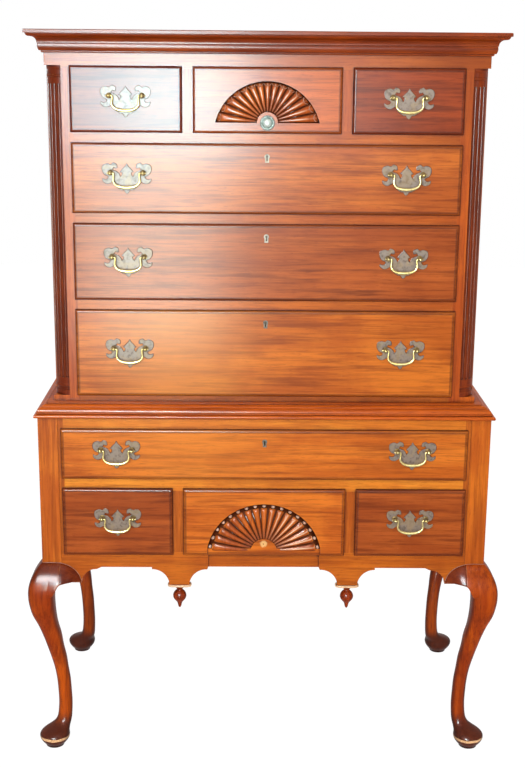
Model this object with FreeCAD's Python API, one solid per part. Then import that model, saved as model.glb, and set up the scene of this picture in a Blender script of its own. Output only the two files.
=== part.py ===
"""Flat-top highboy: an upper case of six drawers on a cabriole-legged lower case of four."""

import FreeCAD, Part
import math
import os

V = FreeCAD.Vector
flat_enough = 1e-6          # cubic mm, four points that count as one plane

# ---- Driving dimensions, in millimetres ------------------------------------------------
# +X is the viewer's right, -Y the front, +Z up. The origin is on the floor, under the
# middle of the case.

# Lower case
lower_width = 1016.0
lower_depth = 540.0
post = 45.0                 # square corner post, in one piece with its leg
leg_clear = 458.5           # floor to the flat under-edge of the apron
apron_face = 31.5           # apron showing under the small drawers
lower_small_height = 160.0  # heights over the drawers' lips
lower_rail = 22.5           # rail showing between the two rows
lower_long_height = 117.5
lower_top_rail = 24.0
lower_end_strip = 6.0       # frame showing between a post and a drawer lip
lower_centre_width = 368.0
lower_mullion = 23.3        # mullion showing between two lips

# Upper case
upper_inset = 34.0          # upper case side behind the lower case side
upper_setback = 38.0        # upper case front behind the lower case front
upper_base_rail = 12.5
upper_rail = 21.5
upper_long_heights = [197.0, 169.5, 151.0]   # from the bottom up
upper_small_height = 139.0
upper_stile = 17.5          # stile showing between the column and a drawer lip
upper_centre_width = 319.0
upper_mullion = 22.3
frieze = 25.5
cornice_height = 47.5
cornice_reach = 36.5
waist_height = 30.5
waist_reach = 8.0           # waist moulding beyond the lower case
waist_ledge = 13.0          # flat ledge round the foot of the upper case
waist_bead = 4.1            # radius

# Moulding profiles. A pair of points is an arc: its middle and its end.
cornice_profile = [         # (share of the reach, share of the height)
    (0.041, 0.0), ((0.115, 0.025), (0.123, 0.084)), (0.219, 0.097), ((0.301, 0.253), (0.288, 0.413)),
    (0.329, 0.425), ((0.400, 0.602), (0.644, 0.695)), (0.685, 0.695), ((0.836, 0.737), (0.890, 0.821)),
    (1.0, 0.842), (1.0, 0.968), (0.959, 1.0), (0.0, 1.0),
]
waist_cove = [              # (outwards from the lower case, share of the height)
    (0.5, 0.289), (1.5, 0.315), (1.5, 0.393), (-0.5, 0.407), ((-2.6, 0.630), (-8.5, 0.734)), (-9.3, 0.734),
]
waist_nosing = [            # (outwards from the ledge, share of the height)
    ((9.4, 0.839), (0.8, 0.882)), (0.0, 0.895), (0.0, 1.0),
]

# Boards
side_board = 20.0
frame_board = 20.0
back_board = 12.0
top_board = 14.0
floor_board = 11.5

# Drawers
lip_cover = 6.0             # how far a drawer's lip laps over the frame
lip_proud = 8.0             # drawer face in front of the frame
seat_gap = 0.3              # closed lip to frame
run_gap = 0.3               # drawer to the runner that carries it
side_gap = 1.0              # drawer to the opening, each side
head_gap = 3.0              # drawer sides under the opening's top
front_inner = 14.0          # drawer front behind the frame's face
thumb_radius = 5.5
thumb_step = 1.2
drawer_side = 12.0
drawer_floor = 6.0
floor_rise = 12.0           # drawer floor above the lower edge of the sides
groove = 6.0
lower_drawer_space = 40.0   # closed drawer to the case back
upper_drawer_space = 35.0

# Runners
runner = 18.0
runner_width = 21.0
guide_width = 12.0
guide_height = 18.0

# Quarter columns
column_recess = 35.0
column_shaft = 32.5         # radius
column_ring = 34.5
flutes = 5
flute_radius = 3.6
flute_spare = 14.0          # plain column at each end of the flutes
flute_out = 0.8             # centre of a flute outside the shaft
column_neck = 30.9          # radius of the hollow in the base
column_base = [             # (radius, above the column's foot)
    (column_ring, 0.0), (column_ring, 9.0), (column_neck, 13.0), (column_neck, 18.0), (column_ring, 20.0),
    (column_ring, 22.5), (column_shaft, 26.0),
]
column_cap = [              # (radius, below the column's head)
    (column_shaft, 24.5), (column_ring, 23.0), (column_ring, 20.0), (column_shaft, 18.5), (column_shaft, 9.0),
    (column_ring, 5.0), (column_ring, 0.0),
]

# Apron and its drops
apron_board = 20.0
drop_centre = 193.8         # from the middle to the centre of a drop
drop_neck = 46.0
drop_depth = 43.5           # flat of the apron to the cap
drop_flare = 38.5           # height of the curve from the neck to the step under the flat
drop_sweep = 40.0           # width of that curve
cap_width = 55.3
cap_thickness = 4.3
cap_lap = 4.6
pendant_ball = 15.3
pendant_length = 55.0
pendant_sides = 12
pendant_profile = [         # (share of the ball's radius, share of the length)
    (0.59, 0.0), (0.29, 0.127), (0.30, 0.236), (0.88, 0.364), (1.0, 0.5), (0.88, 0.636), (0.30, 0.764),
    (0.05, 1.0),
]
apron_hang = 38.5           # apron beside the leg, below the flat
hang_sweep = 47.0           # width of its curve up to the flat
hang_curve = [              # (share of the sweep, share of the hang), down to the tip beside a knee
    (1.0, 0.0), (0.766, 0.135), (0.574, 0.156), ((0.213, 0.416), (0.032, 0.792)), (0.0, 1.0),
]
fan_slot = 4.5              # depth of the plain strip under the lower fan
fan_slot_inset = 2.0        # its ends inside the fan's, on the apron

# Cabriole legs, set out on the leg's diagonal
knee_rise = 4.5             # top of the knee above the apron's flat
leg_sections = [            # share of the knee's height, shift outwards along both axes as a share
                            # of the post, half width as a share of half the post, corner rounding
    (1.000, 0.000, 1.000, 0.12),
    (0.957, 0.378, 1.227, 0.30),
    (0.886, 0.589, 1.360, 0.40),
    (0.790, 0.567, 1.280, 0.50),
    (0.683, 0.333, 1.022, 0.66),
    (0.566, 0.062, 0.871, 0.84),
    (0.479, -0.107, 0.796, 1.00),
    (0.384, -0.249, 0.711, 1.00),
    (0.255, -0.338, 0.702, 1.00),
    (0.160, -0.307, 0.742, 1.00),
    (0.117, -0.211, 0.844, 1.00),
]
foot_radius = 35.5
foot_height = 52.0
foot_shift = 9.0
foot_sections = [           # shares: of the foot's height, shift and radius as shares of its radius
    (0.856, -0.290, 0.704),
    (0.692, -0.068, 0.907),
    (0.500, 0.0, 1.000),
    (0.327, 0.0, 0.949),
    (0.096, 0.0, 0.676),
    (0.000, 0.0, 0.648),
]
post_foot = 430.0           # where the square of the post stops behind the knee
block_reach = 43.5          # knee block from the post along the apron
knee_block_sections = [     # share of the reach, top and bottom as shares of the knee's height,
                            # bulge as a share of the post
    (-0.32, 0.998, 0.873, 0.711),
    (0.046, 0.997, 0.918, 0.578),
    (0.391, 0.985, 0.923, 0.333),
    (0.690, 0.957, 0.916, 0.133),
    (1.000, 0.916, 0.905, 0.018),
]
knee_curve = [(0.0, 0.0), (0.20, 0.46), (0.50, 0.80), (1.0, 1.0)]   # (share of the drop, of the bulge)

# Fans
fan_depth = 6.0             # face to the ground of the carving
fan_rise = 4.6              # ground to the top of a rib, at its outer end
fan_vein = 0.35             # degrees of flat ground between two ribs
rib_curve = [(1.0, 0.0), (0.62, 0.7), (0.0, 1.0)]   # (share of a rib's half width, share of its rise)
upper_fan_half = 112.0
upper_fan_height = 87.0
upper_fan_base = 22.8       # above the lower edge of its drawer
upper_fan_hub = 22.5
upper_fan_ribs = 15
upper_fan_rim = 5.0         # rim to the centre of the bite in a rib's end
upper_fan_bite = 8.2
lower_fan_half = 129.5
lower_fan_height = 108.5
lower_fan_base = 16.6
lower_fan_hub = 30.0
lower_fan_hub_drop = 7.0    # hub's centre below the base line
lower_fan_ribs = 17
lower_fan_rim = 10.5        # rim to the end of a rib
bead_radius = 4.3
bead_gap = 0.2              # bead to the wall of the rim

# Brass
pull_bore = 69.85           # post to post
pull_rise = 12.0            # posts above the middle of the drawer
small_pull_rise = 7.5       # the same in the upper row of small drawers
plate_edge = [              # right half of the backplate from its finial, in shares of the bore
    (0.000, 0.276), (0.116, 0.126), (0.199, 0.029), (0.135, -0.023), (0.200, -0.132), (0.295, 0.023),
    (0.452, 0.092), (0.395, 0.166), (0.295, 0.149), (0.326, 0.269), (0.421, 0.304), (0.521, 0.246),
    (0.639, 0.263), (0.747, 0.186), (0.744, 0.000), (0.659, -0.077), (0.578, -0.123), (0.742, -0.180),
    (0.681, -0.295), (0.535, -0.338), (0.409, -0.272), (0.321, -0.418), (0.149, -0.541),
    (0.066, -0.567), (0.000, -0.639),
]
plate_thick = 1.5
post_reach = 11.0           # plate to the pivot
post_head = 4.8
post_neck = 3.2
bolt_square = 3.4
nut_across = 9.0
nut_thick = 3.0
pin_radius = 1.9
pin_gap = 0.05
rod_sides = 6               # flat sides of the posts, their bores and the bails
bail_drop = 31.0
bail_gap = 0.5              # post to the bail's neck
bail_swell = 3.5            # radius at the middle of the bail
key_drop = 27.0             # keyhole under the lip's top
key_radius = 4.4
key_slot = 5.5
key_length = 9.0
lock_width = 60.0
lock_height = 34.0
lock_thick = 9.0
knob_radius = 15.6
knob_reach = 11.0
knob_sides = 16
knob_profile = [            # (share of the radius, share of the reach)
    (1.0, 0.0), (1.0, 0.18), (0.833, 0.418), (0.654, 0.309), (0.526, 0.782), (0.321, 1.0),
]
screw_short = 4.0           # knob's screw, short of the drawer front's back

# ---- Levels and planes that follow -------------------------------------------------------
front = -lower_depth / 2
back = lower_depth / 2
lower_half = lower_width / 2
post_in = lower_half - post
upper_half = lower_half - upper_inset
upper_front = front + upper_setback
column_in = upper_half - column_recess

lower_small_z = leg_clear + apron_face
lower_long_z = lower_small_z + lower_small_height + lower_rail
lower_top = lower_long_z + lower_long_height + lower_top_rail
apron_top = lower_small_z + lip_cover
lower_lip_half = post_in - lower_end_strip
lower_small_width = lower_lip_half - lower_centre_width / 2 - lower_mullion
lower_pull_x = lower_lip_half - lower_small_width / 2
knee_top = leg_clear + knee_rise

upper_floor = lower_top + waist_height
upper_lip_half = column_in - upper_stile
upper_long_z = []
level = upper_floor + upper_base_rail
for height in upper_long_heights:
    upper_long_z.append(level)
    level += height + upper_rail
upper_small_z = level
column_foot = upper_floor + upper_base_rail
column_head = upper_small_z + upper_small_height
corner_post_back = upper_front + column_recess + side_board
frieze_top = column_head + frieze
overall_height = frieze_top + cornice_height
board_top = overall_height - top_board
upper_small_width = upper_lip_half - upper_centre_width / 2 - upper_mullion
upper_pull_x = upper_lip_half - upper_small_width / 2


# ---- Helpers -----------------------------------------------------------------------------
def block(x0, x1, y0, y1, z0, z1):
    return Part.makeBox(x1 - x0, y1 - y0, z1 - z0, V(x0, y0, z0))


def flip_x(shape):
    return shape.mirror(V(0, 0, 0), V(1, 0, 0))


def flip_y(shape):
    return shape.mirror(V(0, 0, 0), V(0, 1, 0))


def pair(shape):
    return [shape, flip_x(shape)]


def placed(steps, place):
    """The steps of an outline, with each point put in its place by a function."""
    return [tuple(map(place, step)) if isinstance(step[0], tuple) else place(step) for step in steps]


def outline(start, steps):
    """A closed wire from straight steps (a point) and arcs (a pair: mid point, end)."""
    edges = []
    here = start
    for step in list(steps) + [start]:
        if isinstance(step, tuple):
            middle, end = step
            edges.append(Part.Arc(here, middle, end).toShape())
        else:
            end = step
            if (end - here).Length > 1e-6:
                edges.append(Part.makeLine(here, end))
        here = end
    return Part.Wire(edges)


def plate_xz(start, steps, y0, y1):
    """An outline given as (x, z), cut from a board between y0 and y1."""
    def lift(point):
        return V(point[0], y0, point[1])

    wire = outline(lift(start), placed(steps, lift))
    return Part.Face(wire).extrude(V(0, y1 - y0, 0))


def plan(points, z0, z1):
    """A board or post of the given plan, between two levels."""
    wire = Part.makePolygon([V(x, y, z0) for x, y in points] + [V(*points[0], z0)])
    return Part.Face(wire).extrude(V(0, 0, z1 - z0))


def turned(profile, x, y):
    """An upright turned piece, from (radius, height) points, round an axis through x, y."""
    wire = outline(V(*profile[0], 0), [V(*point, 0) for point in profile[1:]])
    solid = Part.Face(wire).revolve(V(0, 0, 0), V(0, 1, 0), 360)
    solid.Placement = FreeCAD.Placement(V(x, y, 0), FreeCAD.Rotation(V(1, 0, 0), 90))
    return solid


def flat_face(*corners):
    return Part.Face(Part.makePolygon(list(corners) + [corners[0]]))


def lofted(rings):
    """A straight loft through rings of points, skinned with flat faces."""
    faces = [flat_face(*rings[0]), flat_face(*rings[-1])]
    for near, far in zip(rings, rings[1:]):
        for i in range(len(near)):
            a, b, c, d = near[i - 1], near[i], far[i], far[i - 1]
            if abs((b - a).cross(d - a).dot(c - a)) < flat_enough:
                faces.append(flat_face(a, b, c, d))
            else:
                faces += [flat_face(a, b, c), flat_face(a, c, d)]
    shell = Part.makeShell(faces)
    shell.sewShape()
    return Part.makeSolid(shell)


def faceted(profile, sides, place, axis):
    """A small turned piece drawn with flat sides, from (radius, height) rings along an axis."""
    turns = [2 * math.pi * i / sides for i in range(sides)]
    solid = lofted([[V(r * math.cos(t), r * math.sin(t), height) for t in turns] for r, height in profile])
    solid.Placement = FreeCAD.Placement(place, FreeCAD.Rotation(V(0, 0, 1), axis))
    return solid


def export(name, solids):
    shape = solids[0] if len(solids) == 1 else Part.makeCompound(solids)
    for solid in shape.Solids:
        if not solid.isValid() or solid.Volume < 1:
            print("check", name, solid.isValid(), round(solid.Volume, 1))
    shape.exportStep(os.path.join("parts", name + ".step"))


# ---- Mouldings round three sides ----------------------------------------------------------
def mitred(profile_start, profile_steps, reach, half, front_plane):
    """A front length and two returns of one profile, mitred at the front corners.

    The profile is given as (outwards from the case, height). The returns stop at the back.
    """
    inward = half / 4

    def face(lift):
        return Part.Face(outline(lift(profile_start), placed(profile_steps, lift)))

    corner_out = (half + reach, front_plane - reach)
    corner_in = (half - inward, front_plane + inward)
    low, high = 0.0, 2 * overall_height
    front_run = face(lambda p: V(-half - reach, front_plane - p[0], p[1]))
    front_run = front_run.extrude(V(2 * (half + reach), 0, 0))
    front_run = front_run.common(plan([
        (-corner_out[0], corner_out[1]), corner_out, corner_in, (-corner_in[0], corner_in[1])], low, high))
    side_run = face(lambda p: V(half + p[0], front_plane - reach, p[1]))
    side_run = side_run.extrude(V(0, back - front_plane + reach, 0))
    side_run = side_run.common(plan([
        corner_out, (half + reach, back), (half - inward, back), corner_in], low, high))
    return [front_run] + pair(side_run)


def cornice():
    steps = placed(cornice_profile, lambda p: (p[0] * cornice_reach, frieze_top + p[1] * cornice_height))
    return mitred((0, frieze_top), steps, 2 * cornice_reach, upper_half, upper_front)


def waist_moulding():
    z = lower_top
    ledge = waist_ledge - upper_inset
    inner = -upper_inset - side_board
    bead = [
        (waist_reach - waist_bead, z),
        ((waist_reach, z + waist_bead), (waist_reach - waist_bead, z + 2 * waist_bead))]
    cove = placed(waist_cove, lambda p: (p[0], z + p[1] * waist_height))
    nosing = placed(waist_nosing, lambda p: (ledge + p[0], z + p[1] * waist_height))
    runs = mitred((inner, z), bead + cove + nosing + [(inner, upper_floor)], 2 * waist_reach,
                  lower_half, front)
    back_rail = block(-lower_half - inner, lower_half + inner, back - side_board, back, z, upper_floor)
    return runs + [back_rail]


# ---- Upper case ---------------------------------------------------------------------------
def upper_sides():
    board = block(upper_half - side_board, upper_half, upper_front + column_recess, back,
                  upper_floor, board_top)
    return pair(board)


def upper_back():
    inside = upper_half - side_board
    return [block(-inside, inside, back - back_board, back, upper_floor, board_top)]


def upper_top():
    return [block(-upper_half, upper_half, upper_front, back, board_top, overall_height)]


def upper_bottom():
    inside = upper_half - side_board
    opening = upper_lip_half - lip_cover
    y0, y1, rear = upper_front + frame_board, corner_post_back, back - back_board
    right = [(opening, y0), (opening, y1), (inside, y1), (inside, rear)]
    left = [(-x, y) for x, y in reversed(right)]
    return [plan(right + left, upper_floor, upper_floor + floor_board)]


def upper_rails():
    """Levels (bottom, top) of the rails that close the upper openings."""
    rails = [(upper_floor, upper_long_z[0] + lip_cover)]
    for low, height in zip(upper_long_z, upper_long_heights):
        rails.append((low + height - lip_cover, low + height + upper_rail + lip_cover))
    return rails


def upper_front_frame():
    y0, y1 = upper_front, upper_front + frame_board
    opening = upper_lip_half - lip_cover
    stile = block(opening, column_in, y0, y1, upper_floor, column_head - lip_cover)
    column_back = upper_front + column_recess
    side_in = upper_half - side_board
    corner_post = plan([
        (opening, y1), (column_in, y1), (column_in, column_back), (side_in, column_back),
        (side_in, corner_post_back), (opening, corner_post_back)], upper_floor, board_top)
    foot_block = block(column_in, upper_half, y0, column_back, upper_floor, column_foot)
    head_block = block(column_in, upper_half, y1, column_back, column_head, board_top)
    solids = pair(stile) + pair(corner_post) + pair(foot_block) + pair(head_block)
    for low, high in upper_rails():
        solids.append(block(-opening, opening, y0, y1, low, high))
    solids.append(plate_xz((-upper_half, column_head), [
        (-column_in, column_head), (-column_in, column_head - lip_cover),
        (column_in, column_head - lip_cover), (column_in, column_head), (upper_half, column_head),
        (upper_half, board_top), (-upper_half, board_top)], y0, y1))
    mullion_in = upper_centre_width / 2 - lip_cover
    mullion = block(mullion_in, mullion_in + upper_mullion + 2 * lip_cover, y0, y1,
                    upper_small_z + lip_cover, column_head - lip_cover)
    return solids + pair(mullion)


def quarter_columns():
    cx, cy = column_in, upper_front + column_recess
    low, high = column_foot, column_head
    profile = [(0, low)] + [(r, low + up) for r, up in column_base]
    profile += [(r, high - down) for r, down in column_cap] + [(0, high)]
    quarter = block(cx, cx + 2 * column_ring, cy - 2 * column_ring, cy, low, high)
    column = turned(profile, cx, cy).common(quarter)
    flute_low = low + column_base[-1][1] + flute_spare
    flute_high = high - column_cap[0][1] - flute_spare
    for i in range(flutes):
        angle = math.radians(-90 + 90.0 * (i + 0.5) / flutes)
        x = cx + (column_shaft + flute_out) * math.cos(angle)
        y = cy + (column_shaft + flute_out) * math.sin(angle)
        column = column.cut(Part.makeCylinder(flute_radius, flute_high - flute_low, V(x, y, flute_low)))
    return pair(column)


def runner_plan(opening, case_front, post_corner, side_in, post_depth):
    """Plan of a runner fitted round the corner post, against the side board."""
    inner = opening - runner_width
    rear = back - back_board
    points = [(inner, case_front), (opening, case_front), (opening, post_corner),
              (side_in, post_corner)]
    if post_depth:
        points += [(side_in, back - post_depth), (post_in, back - post_depth), (post_in, rear)]
    else:
        points += [(side_in, rear)]
    return points + [(inner, rear)]


def upper_runners():
    opening = upper_lip_half - lip_cover
    start = upper_front + frame_board
    clear = corner_post_back
    side_in = upper_half - side_board
    rear = back - back_board
    solids = []
    for z in upper_long_z + [upper_small_z]:
        top = z + lip_cover
        low = max(top - runner, upper_floor + floor_board)
        base = plan(runner_plan(opening, start, clear, side_in, 0), low, top)
        guide = block(opening, opening + guide_width, clear, rear, top, top + guide_height)
        solids += pair(base.fuse(guide).removeSplitter())
    mullion_in = upper_centre_width / 2 - lip_cover
    mullion_out = mullion_in + upper_mullion + 2 * lip_cover
    top = upper_small_z + lip_cover
    base = block(mullion_in - runner_width, mullion_out + runner_width, start, rear, top - runner, top)
    guide = block(mullion_in, mullion_out, start, rear, top, top + guide_height)
    return solids + pair(base.fuse(guide).removeSplitter())


# ---- Lower case ---------------------------------------------------------------------------
def hang_edge(tip):
    """Steps (along, height) from the flat of the apron down to the tip beside a knee block."""
    return placed(hang_curve, lambda p: (tip - p[0] * hang_sweep, leg_clear - p[1] * apron_hang))


def mirrored(steps):
    """The outline's other half, walked on from its last point back to the middle."""
    ends = [step[1] if isinstance(step[0], tuple) else step for step in steps]
    walked = [ends[-1]]
    for i in range(len(steps) - 1, 0, -1):
        walked.append((steps[i][0], ends[i - 1]) if isinstance(steps[i][0], tuple) else ends[i - 1])
    return placed(walked, lambda p: (-p[0], p[1]))


def lower_sides():
    """A board between the posts, drawn from the front and turned to face sideways."""
    end = back - post
    right = hang_edge(end - block_reach) + [(end, leg_clear - apron_hang), (end, lower_top)]
    board = plate_xz((0, leg_clear), right + mirrored(right), -lower_half, -lower_half + side_board)
    board.rotate(V(0, 0, 0), V(0, 0, 1), 90)
    return pair(board)


def lower_back():
    return [block(-post_in, post_in, back - back_board, back, leg_clear, lower_top)]


def lower_top_board():
    return [block(-post_in, post_in, front + frame_board, back - back_board,
                  lower_top - top_board, lower_top)]


def lower_front_frame():
    y0, y1 = front, front + frame_board
    opening = lower_lip_half - lip_cover
    strip = block(opening, post_in, y0, y1, apron_top, lower_top)
    long_low = lower_long_z + lip_cover
    long_high = lower_long_z + lower_long_height - lip_cover
    small_high = lower_small_z + lower_small_height - lip_cover
    mullion_in = lower_centre_width / 2 - lip_cover
    mullion = block(mullion_in, mullion_in + lower_mullion + 2 * lip_cover, y0, y1,
                    apron_top, small_high)
    return pair(strip) + pair(mullion) + [
        block(-opening, opening, y0, y1, small_high, long_low),
        block(-opening, opening, y0, y1, long_high, lower_top)]


def apron():
    flat = leg_clear
    neck_low = flat - drop_depth
    neck_high = neck_low + drop_flare
    inner, outer = drop_centre - drop_neck / 2, drop_centre + drop_neck / 2
    slot = lower_fan_half - fan_slot_inset
    bend = (0.21 * drop_sweep, neck_low + 0.61 * drop_flare)

    right = [
        (slot, flat), (slot + fan_slot_inset, neck_high), (inner - drop_sweep, neck_high),
        ((inner - bend[0], bend[1]), (inner, neck_low)), (outer, neck_low),
        ((outer + bend[0], bend[1]), (outer + drop_sweep, neck_high)), (outer + drop_sweep, flat)]
    right += hang_edge(post_in - block_reach)
    right += [(post_in, flat - apron_hang), (post_in, apron_top)]
    board = plate_xz((0, flat), right + mirrored(right), front, front + apron_board)
    strip = block(-slot, slot, front - 1, front + fan_slot, flat - 1, apron_top + 1)
    return [board.cut(strip)]


def pendants():
    y = front + apron_board / 2
    top = leg_clear - drop_depth
    hang = top - cap_thickness
    cap = block(drop_centre - cap_width / 2, drop_centre + cap_width / 2,
                front - cap_lap, front + apron_board + cap_lap, hang, top)
    rings = [(r * pendant_ball, h * pendant_length) for r, h in pendant_profile]
    drop = faceted(rings, pendant_sides, V(drop_centre, y, hang), V(0, 0, -1))
    return pair(cap) + pair(drop)


def lower_runners():
    opening = lower_lip_half - lip_cover
    start = front + frame_board
    rear = back - back_board
    solids = []
    for z in (lower_small_z, lower_long_z):
        top = z + lip_cover
        points = runner_plan(opening, start, front + post, lower_half - side_board, post)
        points[1] = (post_in, start)
        points[2] = (post_in, front + post)
        base = plan(points, top - runner, top)
        guide = block(opening, post_in, start, rear, top, top + guide_height)
        solids += pair(base.fuse(guide).removeSplitter())
    mullion_in = lower_centre_width / 2 - lip_cover
    mullion_out = mullion_in + lower_mullion + 2 * lip_cover
    top = apron_top
    base = block(mullion_in - runner_width, mullion_out + runner_width, start, rear, top - runner, top)
    guide = block(mullion_in, mullion_out, start, rear, top, top + guide_height)
    return solids + pair(base.fuse(guide).removeSplitter())


# ---- Legs -----------------------------------------------------------------------------------
def leg_section(z, shift, half, rounding):
    """A square with four-point rounded corners, moved outwards along the leg's diagonal."""
    cx, cy = lower_half - post / 2 + shift, front + post / 2 - shift
    r = half * rounding
    points = []
    for quarter in range(4):
        for part in range(4):
            corner = math.radians(90 * quarter + 45)
            turn = math.radians(90 * quarter + 22.5 * part + 11.25)
            reach = math.sqrt(2) * (half - r)
            points.append(V(cx + reach * math.cos(corner) + r * math.cos(turn),
                            cy + reach * math.sin(corner) + r * math.sin(turn), z))
    return points


def right_leg():
    """Post, knee, ankle and pad foot of the front right corner, in one piece."""
    sections = [leg_section(share * knee_top, shift * post, half * post / 2, rounding)
                for share, shift, half, rounding in leg_sections]
    sections += [leg_section(share * foot_height, foot_shift + shift * foot_radius, radius * foot_radius, 1.0)
                 for share, shift, radius in foot_sections]
    square = block(post_in, lower_half, front, front + post, post_foot, lower_top)
    return square.fuse(lofted(sections))


def front_legs(leg):
    return pair(leg)


def rear_legs(leg):
    return pair(flip_y(leg))


def knee_block(leg, apron_solid):
    """The block that carries the knee's curve on to the apron, on the leg's inner side."""
    rear = front + apron_board
    rings = []
    for along, top, bottom, bulge in knee_block_sections:
        x = post_in - along * block_reach
        top, drop = top * knee_top, (top - bottom) * knee_top
        curve = [V(x, front - share * bulge * post, top - down * drop) for down, share in knee_curve]
        rings.append(curve + [V(x, rear, top - drop), V(x, rear, top)])
    body = lofted(rings)
    body = body.cut(block(0, lower_half, front, rear + 1, post_foot, apron_top))
    body = body.cut(apron_solid).cut(leg)
    return max(body.Solids, key=lambda solid: solid.Volume)


def knee_blocks(leg, apron_solid):
    block_front = knee_block(leg, apron_solid)
    corner = V(lower_half - post / 2, front + post / 2, 0)
    block_side = block_front.mirror(corner, V(1, 1, 0).normalize())
    return pair(block_front) + pair(block_side) + pair(flip_y(block_side))


# ---- Carved fans ----------------------------------------------------------------------------
def fan_arc(half, height):
    """Radius of the fan's outline and how far its centre lies below the base line."""
    radius = (half * half + height * height) / (2 * height)
    return radius, radius - height


def disc(radius, x, z, y0, y1):
    return Part.makeCylinder(radius, y1 - y0, V(x, y0, z), V(0, 1, 0))


def fan_pocket(half, height, base_z, y0, y1, inset=0.0):
    """The fan's outline above its base line, between two depths."""
    radius, drop = fan_arc(half, height)
    whole = disc(radius - inset, 0, base_z - drop, y0, y1)
    return whole.common(block(-radius, radius, y0 - 1, y1 + 1, base_z, base_z + 2 * radius))


def rim_distance(half, height, hub_drop, angle):
    """From the hub's centre to the fan's outline, at an angle above the base line."""
    radius, drop = fan_arc(half, height)
    rise = (drop - hub_drop) * math.sin(angle)
    return -rise + math.sqrt(rise * rise + radius * radius - (drop - hub_drop) ** 2)


def polar(hub_z, y, angle, distance, offset=0.0):
    """A point at a distance along a ray from the hub, and an offset to its left."""
    c, s = math.cos(angle), math.sin(angle)
    return V(distance * c - offset * s, y, hub_z + distance * s + offset * c)


def fan_rib(hub_z, floor, angle, pitch, near, far):
    """A rib that widens and rises in step from the hub's centre, in four long facets."""
    spread = math.tan((pitch - math.radians(fan_vein)) / 2)
    rings = []
    for distance in (near, far):
        half, rise = distance * spread, fan_rise * distance / far
        points = [(half, -1.0)] + [(across * half, height * rise) for across, height in rib_curve]
        points += [(-offset, height) for offset, height in reversed(points[:-1])]
        rings.append([polar(hub_z, floor - height, angle, distance, offset) for offset, height in points])
    return lofted(rings)


def prism(radius, taper, x, z, y0, y1, turn):
    """An octagonal peg along Y, narrowing from y0 to y1."""
    turns = [turn + i * math.pi / 4 for i in range(8)]
    return lofted([[V(x + r * math.cos(t), y, z + r * math.sin(t)) for t in turns]
                   for y, r in ((y0, radius), (y1, radius * taper))])


def fan_angles(count):
    pitch = math.pi / count
    return pitch, [pitch * (i + 0.5) for i in range(count)]


def carve_upper_fan(solid, lip_z, face):
    base_z = lip_z + upper_fan_base
    floor = face + fan_depth
    size = (upper_fan_half, upper_fan_height)
    hub = disc(upper_fan_hub, 0, base_z, face - 1, floor + 4)
    solid = solid.cut(fan_pocket(*size, base_z, face - 1, floor).cut(hub))
    pitch, angles = fan_angles(upper_fan_ribs)
    for angle in angles:
        rim = rim_distance(*size, 0, angle)
        rib = fan_rib(base_z, floor, angle, pitch, upper_fan_hub - 2.0, rim - upper_fan_rim)
        end = polar(base_z, 0, angle, rim - upper_fan_rim + upper_fan_bite / 2)
        bite = prism(upper_fan_bite, 1.0, end.x, end.z, face - 1, floor, angle + math.pi / 8)
        solid = solid.fuse(rib.cut(bite))
    return solid


def carve_lower_fan(solid, lip_z, face):
    base_z = lip_z + lower_fan_base
    strip = face + fan_slot
    floor = face + fan_depth + 1.0
    size = (lower_fan_half, lower_fan_height)
    hub_z = base_z - lower_fan_hub_drop
    below = block(-lower_fan_half, lower_fan_half, face - 1, strip, lip_z - 1, base_z)
    hub = disc(lower_fan_hub, 0, hub_z, strip, floor + 4)
    solid = solid.cut(below).cut(fan_pocket(*size, base_z, face - 1, floor).cut(hub))
    pitch, angles = fan_angles(lower_fan_ribs)
    for angle in angles:
        rim = rim_distance(*size, lower_fan_hub_drop, angle)
        rib = fan_rib(hub_z, floor, angle, pitch, lower_fan_hub - 2.0, rim - lower_fan_rim)
        at = polar(hub_z, 0, angle, rim - bead_radius - bead_gap)
        bead = prism(bead_radius, 0.5, at.x, at.z, floor + 1.0, floor - bead_radius, angle)
        solid = solid.fuse([rib, bead])
    return solid


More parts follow.
